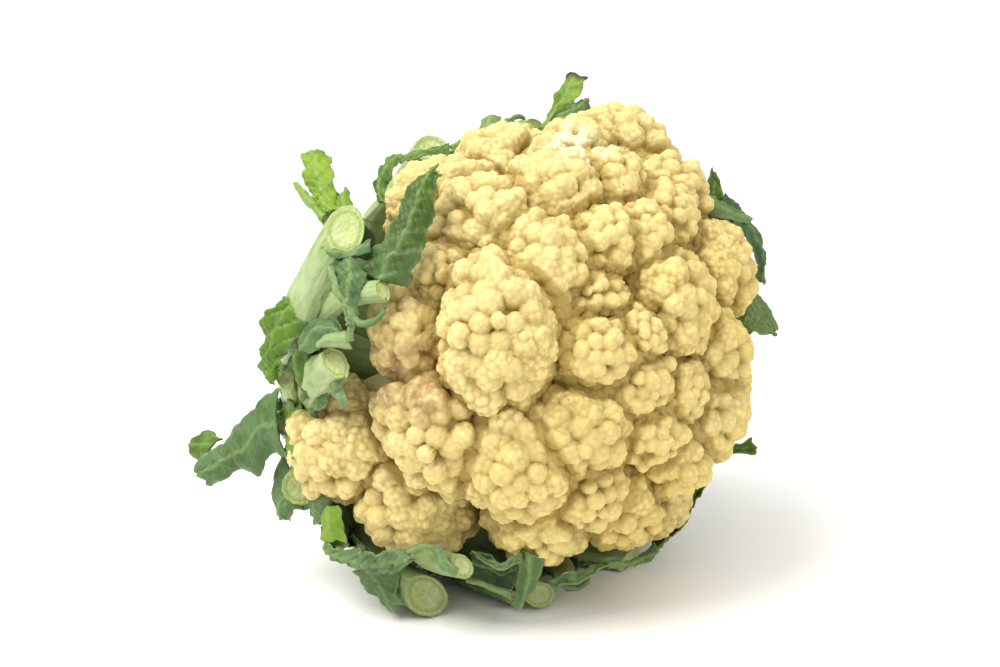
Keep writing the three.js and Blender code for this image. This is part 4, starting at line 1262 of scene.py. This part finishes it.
def makeRod(rng, leaf):
    line = stalkLine(leaf)
    length = np.linalg.norm(np.diff(line, axis=0), axis=1).sum()
    rows = int(length / leafStyle["rodStep"])
    line = stalkLine(leaf, rows + 1)
    along, out, across = frameAlong(line)
    t = np.linspace(0, 1, rows + 1)
    girth = girthAt(leaf, t)
    around = leafStyle["around"]
    angle = np.arange(around) * math.tau / around
    facets = leaf.get("facets")
    if facets:  # trimmed with a knife: flat sides
        fold = (angle + 0.4) % (math.tau / facets) - math.pi / facets
        shape = math.cos(math.pi / facets) / np.cos(fold)
    else:
        ridges = np.cos(leafStyle["ribs"] * angle) * (np.sin(angle) > -0.3)
        shape = 1 + leafStyle["ribDepth"] * ridges
    flat = np.where(np.sin(angle) < 0, 0.8, 1.0)
    uneven = np.stack([ripple(rng, t * length + k * 9 * mm, 30 * mm) for k in range(4)], 1)
    wobble = 1 + leafStyle["wobble"] * uneven[:, (angle / math.tau * 4).astype(int)]
    x = np.cos(angle) * shape * girth[:, :1] / 2 * wobble
    z = np.sin(angle) * shape * flat * girth[:, 1:] / 2 * wobble
    body = line[:, None] + across[:, None] * x[..., None] + out[:, None] * z[..., None]
    if "cutFacing" in leaf:
        facing = unit(np.array(leaf["cutFacing"]) + 0.45 * along[-1])
        slantX = -float(facing @ across[-1]) / max(float(facing @ along[-1]), 0.4)
        slantZ = -float(facing @ out[-1]) / max(float(facing @ along[-1]), 0.4)
    else:
        slantX, slantZ = leaf["slant"]
    lean = smooth((t - 0.8) / 0.2)[:, None]
    body = body + along[-1] * ((slantX * x + slantZ * z) * lean)[..., None]
    # the cut: a sharp rim, then rings of a rough, slightly hollow face
    rings, hollow = leafStyle["cutRings"], leafStyle["cutHollow"]
    faceRows, radial = [], []
    for share in rings:
        rough = rng.normal(0, leafStyle["cutRough"], around)
        rough = (rough + np.roll(rough, 1) + np.roll(rough, -1)) / 2
        depth = -hollow * (1 - share) + leafStyle["cutRim"] * (share > 0.93) + rough
        px, pz = x[-1] * share, z[-1] * share
        faceRows.append(line[-1] + across[-1] * px[:, None] + out[-1] * pz[:, None]
                        + along[-1] * (slantX * px + slantZ * pz + depth)[:, None])
        radial.append(np.full(around, share))
    points = np.concatenate([body.reshape(-1, 3)] + faceRows
                            + [(line[-1] - along[-1] * hollow)[None], line[:1]])
    ringsAll = rows + 1 + len(rings)
    ids = np.arange(ringsAll * around).reshape(ringsAll, around)
    right = np.roll(ids, -1, axis=1)
    quads = np.stack((ids[:-1], right[:-1], right[1:], ids[1:]), -1).reshape(-1, 4)[:, ::-1]
    tip, tail = ringsAll * around, ringsAll * around + 1
    top = np.stack((ids[-1], np.full(around, tip), right[-1]), 1)
    bottom = np.stack((right[0], np.full(around, tail), ids[0]), 1)
    count = len(points)
    onFace = np.zeros(count)
    onFace[(rows + 1) * around:-1] = 1
    radialAll = np.ones(count)
    radialAll[(rows + 1) * around:-2] = np.concatenate(radial)
    radialAll[-2:] = 0
    run = np.repeat(t * length / mm, around)
    padded = np.concatenate((run, np.full(count - len(run), length / mm)))
    turns = np.tile(np.sin(angle * 2) * 3 + angle * 4, ringsAll)
    marks = {
        "tone": np.full(count, leaf.get("rodTone", 0.6)),
        "pale": np.full(count, leaf.get("rodPaleAndCutShade", 0.85)),
        "vein": np.zeros(count), "edge": np.zeros(count), "burn": np.zeros(count),
        "cut": onFace, "radial": radialAll,
        "runX": np.concatenate((turns, np.zeros(count - len(turns)))), "runY": padded,
    }
    return points, quads, np.concatenate((top, bottom)), marks


# What is left of the blade along the sides of a stalk.
def makeWings(rng, leaf):
    left, right, start, end = leaf["wings"]
    line = stalkLine(leaf)
    _, out, across = frameAlong(line)
    t = np.linspace(0, 1, len(line))
    girth = girthAt(leaf, t)
    pick = np.linspace(start, end, 7)
    k = np.round(pick * (len(line) - 1)).astype(int)
    swell = np.sin(np.linspace(0.25, 2.9, 7))
    made = []
    for way, wide in ((-1, left), (1, right)):
        inner = line[k] + across[k] * way * girth[k, :1] * 0.38
        spread = wide * mm * swell * rng.uniform(0.75, 1.2, 7)
        rise = rng.uniform(-0.1, 0.35, 7) * spread
        outer = inner + across[k] * way * spread[:, None] + out[k] * rise[:, None]
        made.append(makeSheet(rng, {
            "aPoints": inner, "bPoints": outer, "tone": (0.42 + rng.uniform(-0.1, 0.2), 0.3),
            "bulge": 0.8, "ruffle": 1.3, "teeth": 1.3}))
    return made


def joinParts(parts):
    points, quads, tris, first = [], [], [], 0
    for part in parts:
        points.append(part[0])
        quads.append(part[1] + first)
        tris.append(part[2] + first)
        first += len(part[0])
    marks = {key: np.concatenate([part[3][key] for part in parts]) for key in parts[0][3]}
    return np.concatenate(points), [np.concatenate(quads), np.concatenate(tris)], marks


def makeLeaf(name, index, material):
    leaf = leaves[name]
    rng = np.random.default_rng(leafStyle["seed"] * 1000 + index)
    parts = [makeRod(rng, leaf)] + [makeSheet(rng, sheet) for sheet in leaf["sheets"]]
    parts += makeWings(rng, leaf)
    points, faces, marks = joinParts(parts)
    points[:, 2] = np.maximum(points[:, 2], leafStyle["floorGap"])
    return makePiece("leaf_shape_" + name, points, faces, material, marks,
                     ["leaf_" + name])


for index, name in enumerate(leaves):
    makeLeaf(name, index, leafMaterial)
print("leaves made:", len(leaves))

# The short stem: hidden in the curd at one end, cut across with a knife at the other.
stemStyle = {
    # height along the head's axis and radius, mm
    "profile": [(21, 3), (19, 9), (14, 16.5), (4, 22.5), (-12, 23.5), (-26, 21.5), (-40, 19.8),
                (-50, 19.6), (-57, 19.4), (-59.2, 18.9)],
    "around": 160,
    "step": 0.8 * mm,
    "ridges": 9,
    "ridgeDepth": 0.022,
    "faceRings": 26,
    "hollow": 1.1 * mm,          # how far the middle of the cut has dried in
    "sawDepth": 0.22 * mm,       # the knife's marks across it
    "seed": 5,
}


def makeStem(material):
    style = stemStyle
    rng = np.random.default_rng(style["seed"])
    profile = np.array(style["profile"]) * mm
    length = np.linalg.norm(np.diff(profile, axis=0), axis=1).sum()
    line = flow(profile, int(length / style["step"]) + 1)
    around = style["around"]
    angle = np.arange(around) * math.tau / around
    rows = len(line)
    across, up = sideways(crownDir)
    radial = np.cos(angle)[:, None] * across + np.sin(angle)[:, None] * up
    ridge = np.cos(style["ridges"] * angle + 0.8 * np.sin(3 * angle))
    low = smooth((-line[:, 0] - 20 * mm) / (15 * mm))[:, None]
    lumps = ripple(rng, angle * 20 * mm, math.tau * 20 * mm / 5)
    grain = np.cos(31 * angle + 2 * lumps) * 0.004
    shape = 1 + low * (style["ridgeDepth"] * ridge + 0.015 * lumps + grain)[None, :]
    radius = line[:, 1][:, None] * shape
    body = headCentre + line[:, :1, None] * crownDir + radius[..., None] * radial
    faceRows, share = [], np.linspace(0.985, 0.03, style["faceRings"])
    knife = rng.uniform(0, math.pi)
    for part in share:
        flat = radius[-1] * part
        x, y = flat * np.cos(angle), flat * np.sin(angle)
        marksDepth = style["sawDepth"] * np.sin((x * math.cos(knife) + y * math.sin(knife))
                                                / (1.7 * mm) + 1.5 * np.sin(y / (6 * mm)))
        ringStep = 0.35 * mm * math.exp(-((part - 0.72) / 0.05) ** 2)
        depth = line[-1, 0] - 0.8 * mm * smooth((1 - part) / 0.06) \
            + style["hollow"] * smooth((0.7 - part) / 0.6) - ringStep
        faceRows.append(headCentre + flat[:, None] * radial
                        + (depth + marksDepth * smooth((1 - part) / 0.1))[:, None] * crownDir)
    points = np.concatenate([body.reshape(-1, 3)] + faceRows)
    rings = rows + len(share)
    middle = points[-around:].mean(0)
    points = np.concatenate((points, middle[None], (headCentre + line[0, 0] * crownDir)[None]))
    ids = np.arange(rings * around).reshape(rings, around)
    right = np.roll(ids, -1, axis=1)
    quads = np.stack((ids[:-1], ids[1:], right[1:], right[:-1]), -1).reshape(-1, 4)
    tip, top = rings * around, rings * around + 1
    fans = np.concatenate((np.stack((ids[-1], np.full(around, tip), right[-1]), 1),
                           np.stack((right[0], np.full(around, top), ids[0]), 1)))
    onFace = np.zeros(len(points))
    onFace[rows * around:-1] = 1
    radialMark = np.concatenate((np.ones(rows * around), np.repeat(share, around), [0.0, 1.0]))
    heights = np.concatenate((line[:, 0], np.full(len(share), line[-1, 0])))
    ends = [0.0, 0.0]
    marks = {
        "cut": onFace, "radial": radialMark,
        "runX": np.concatenate((np.tile(4 * np.sin(angle) + 9 * np.cos(angle), rings), ends)),
        "runY": np.concatenate((np.repeat(heights, around) / mm, ends)),
    }
    return makePiece("stem_shape", points, [quads, fans], material, marks, ["stem"])


makeStem(stemMaterial)
print("stem made")
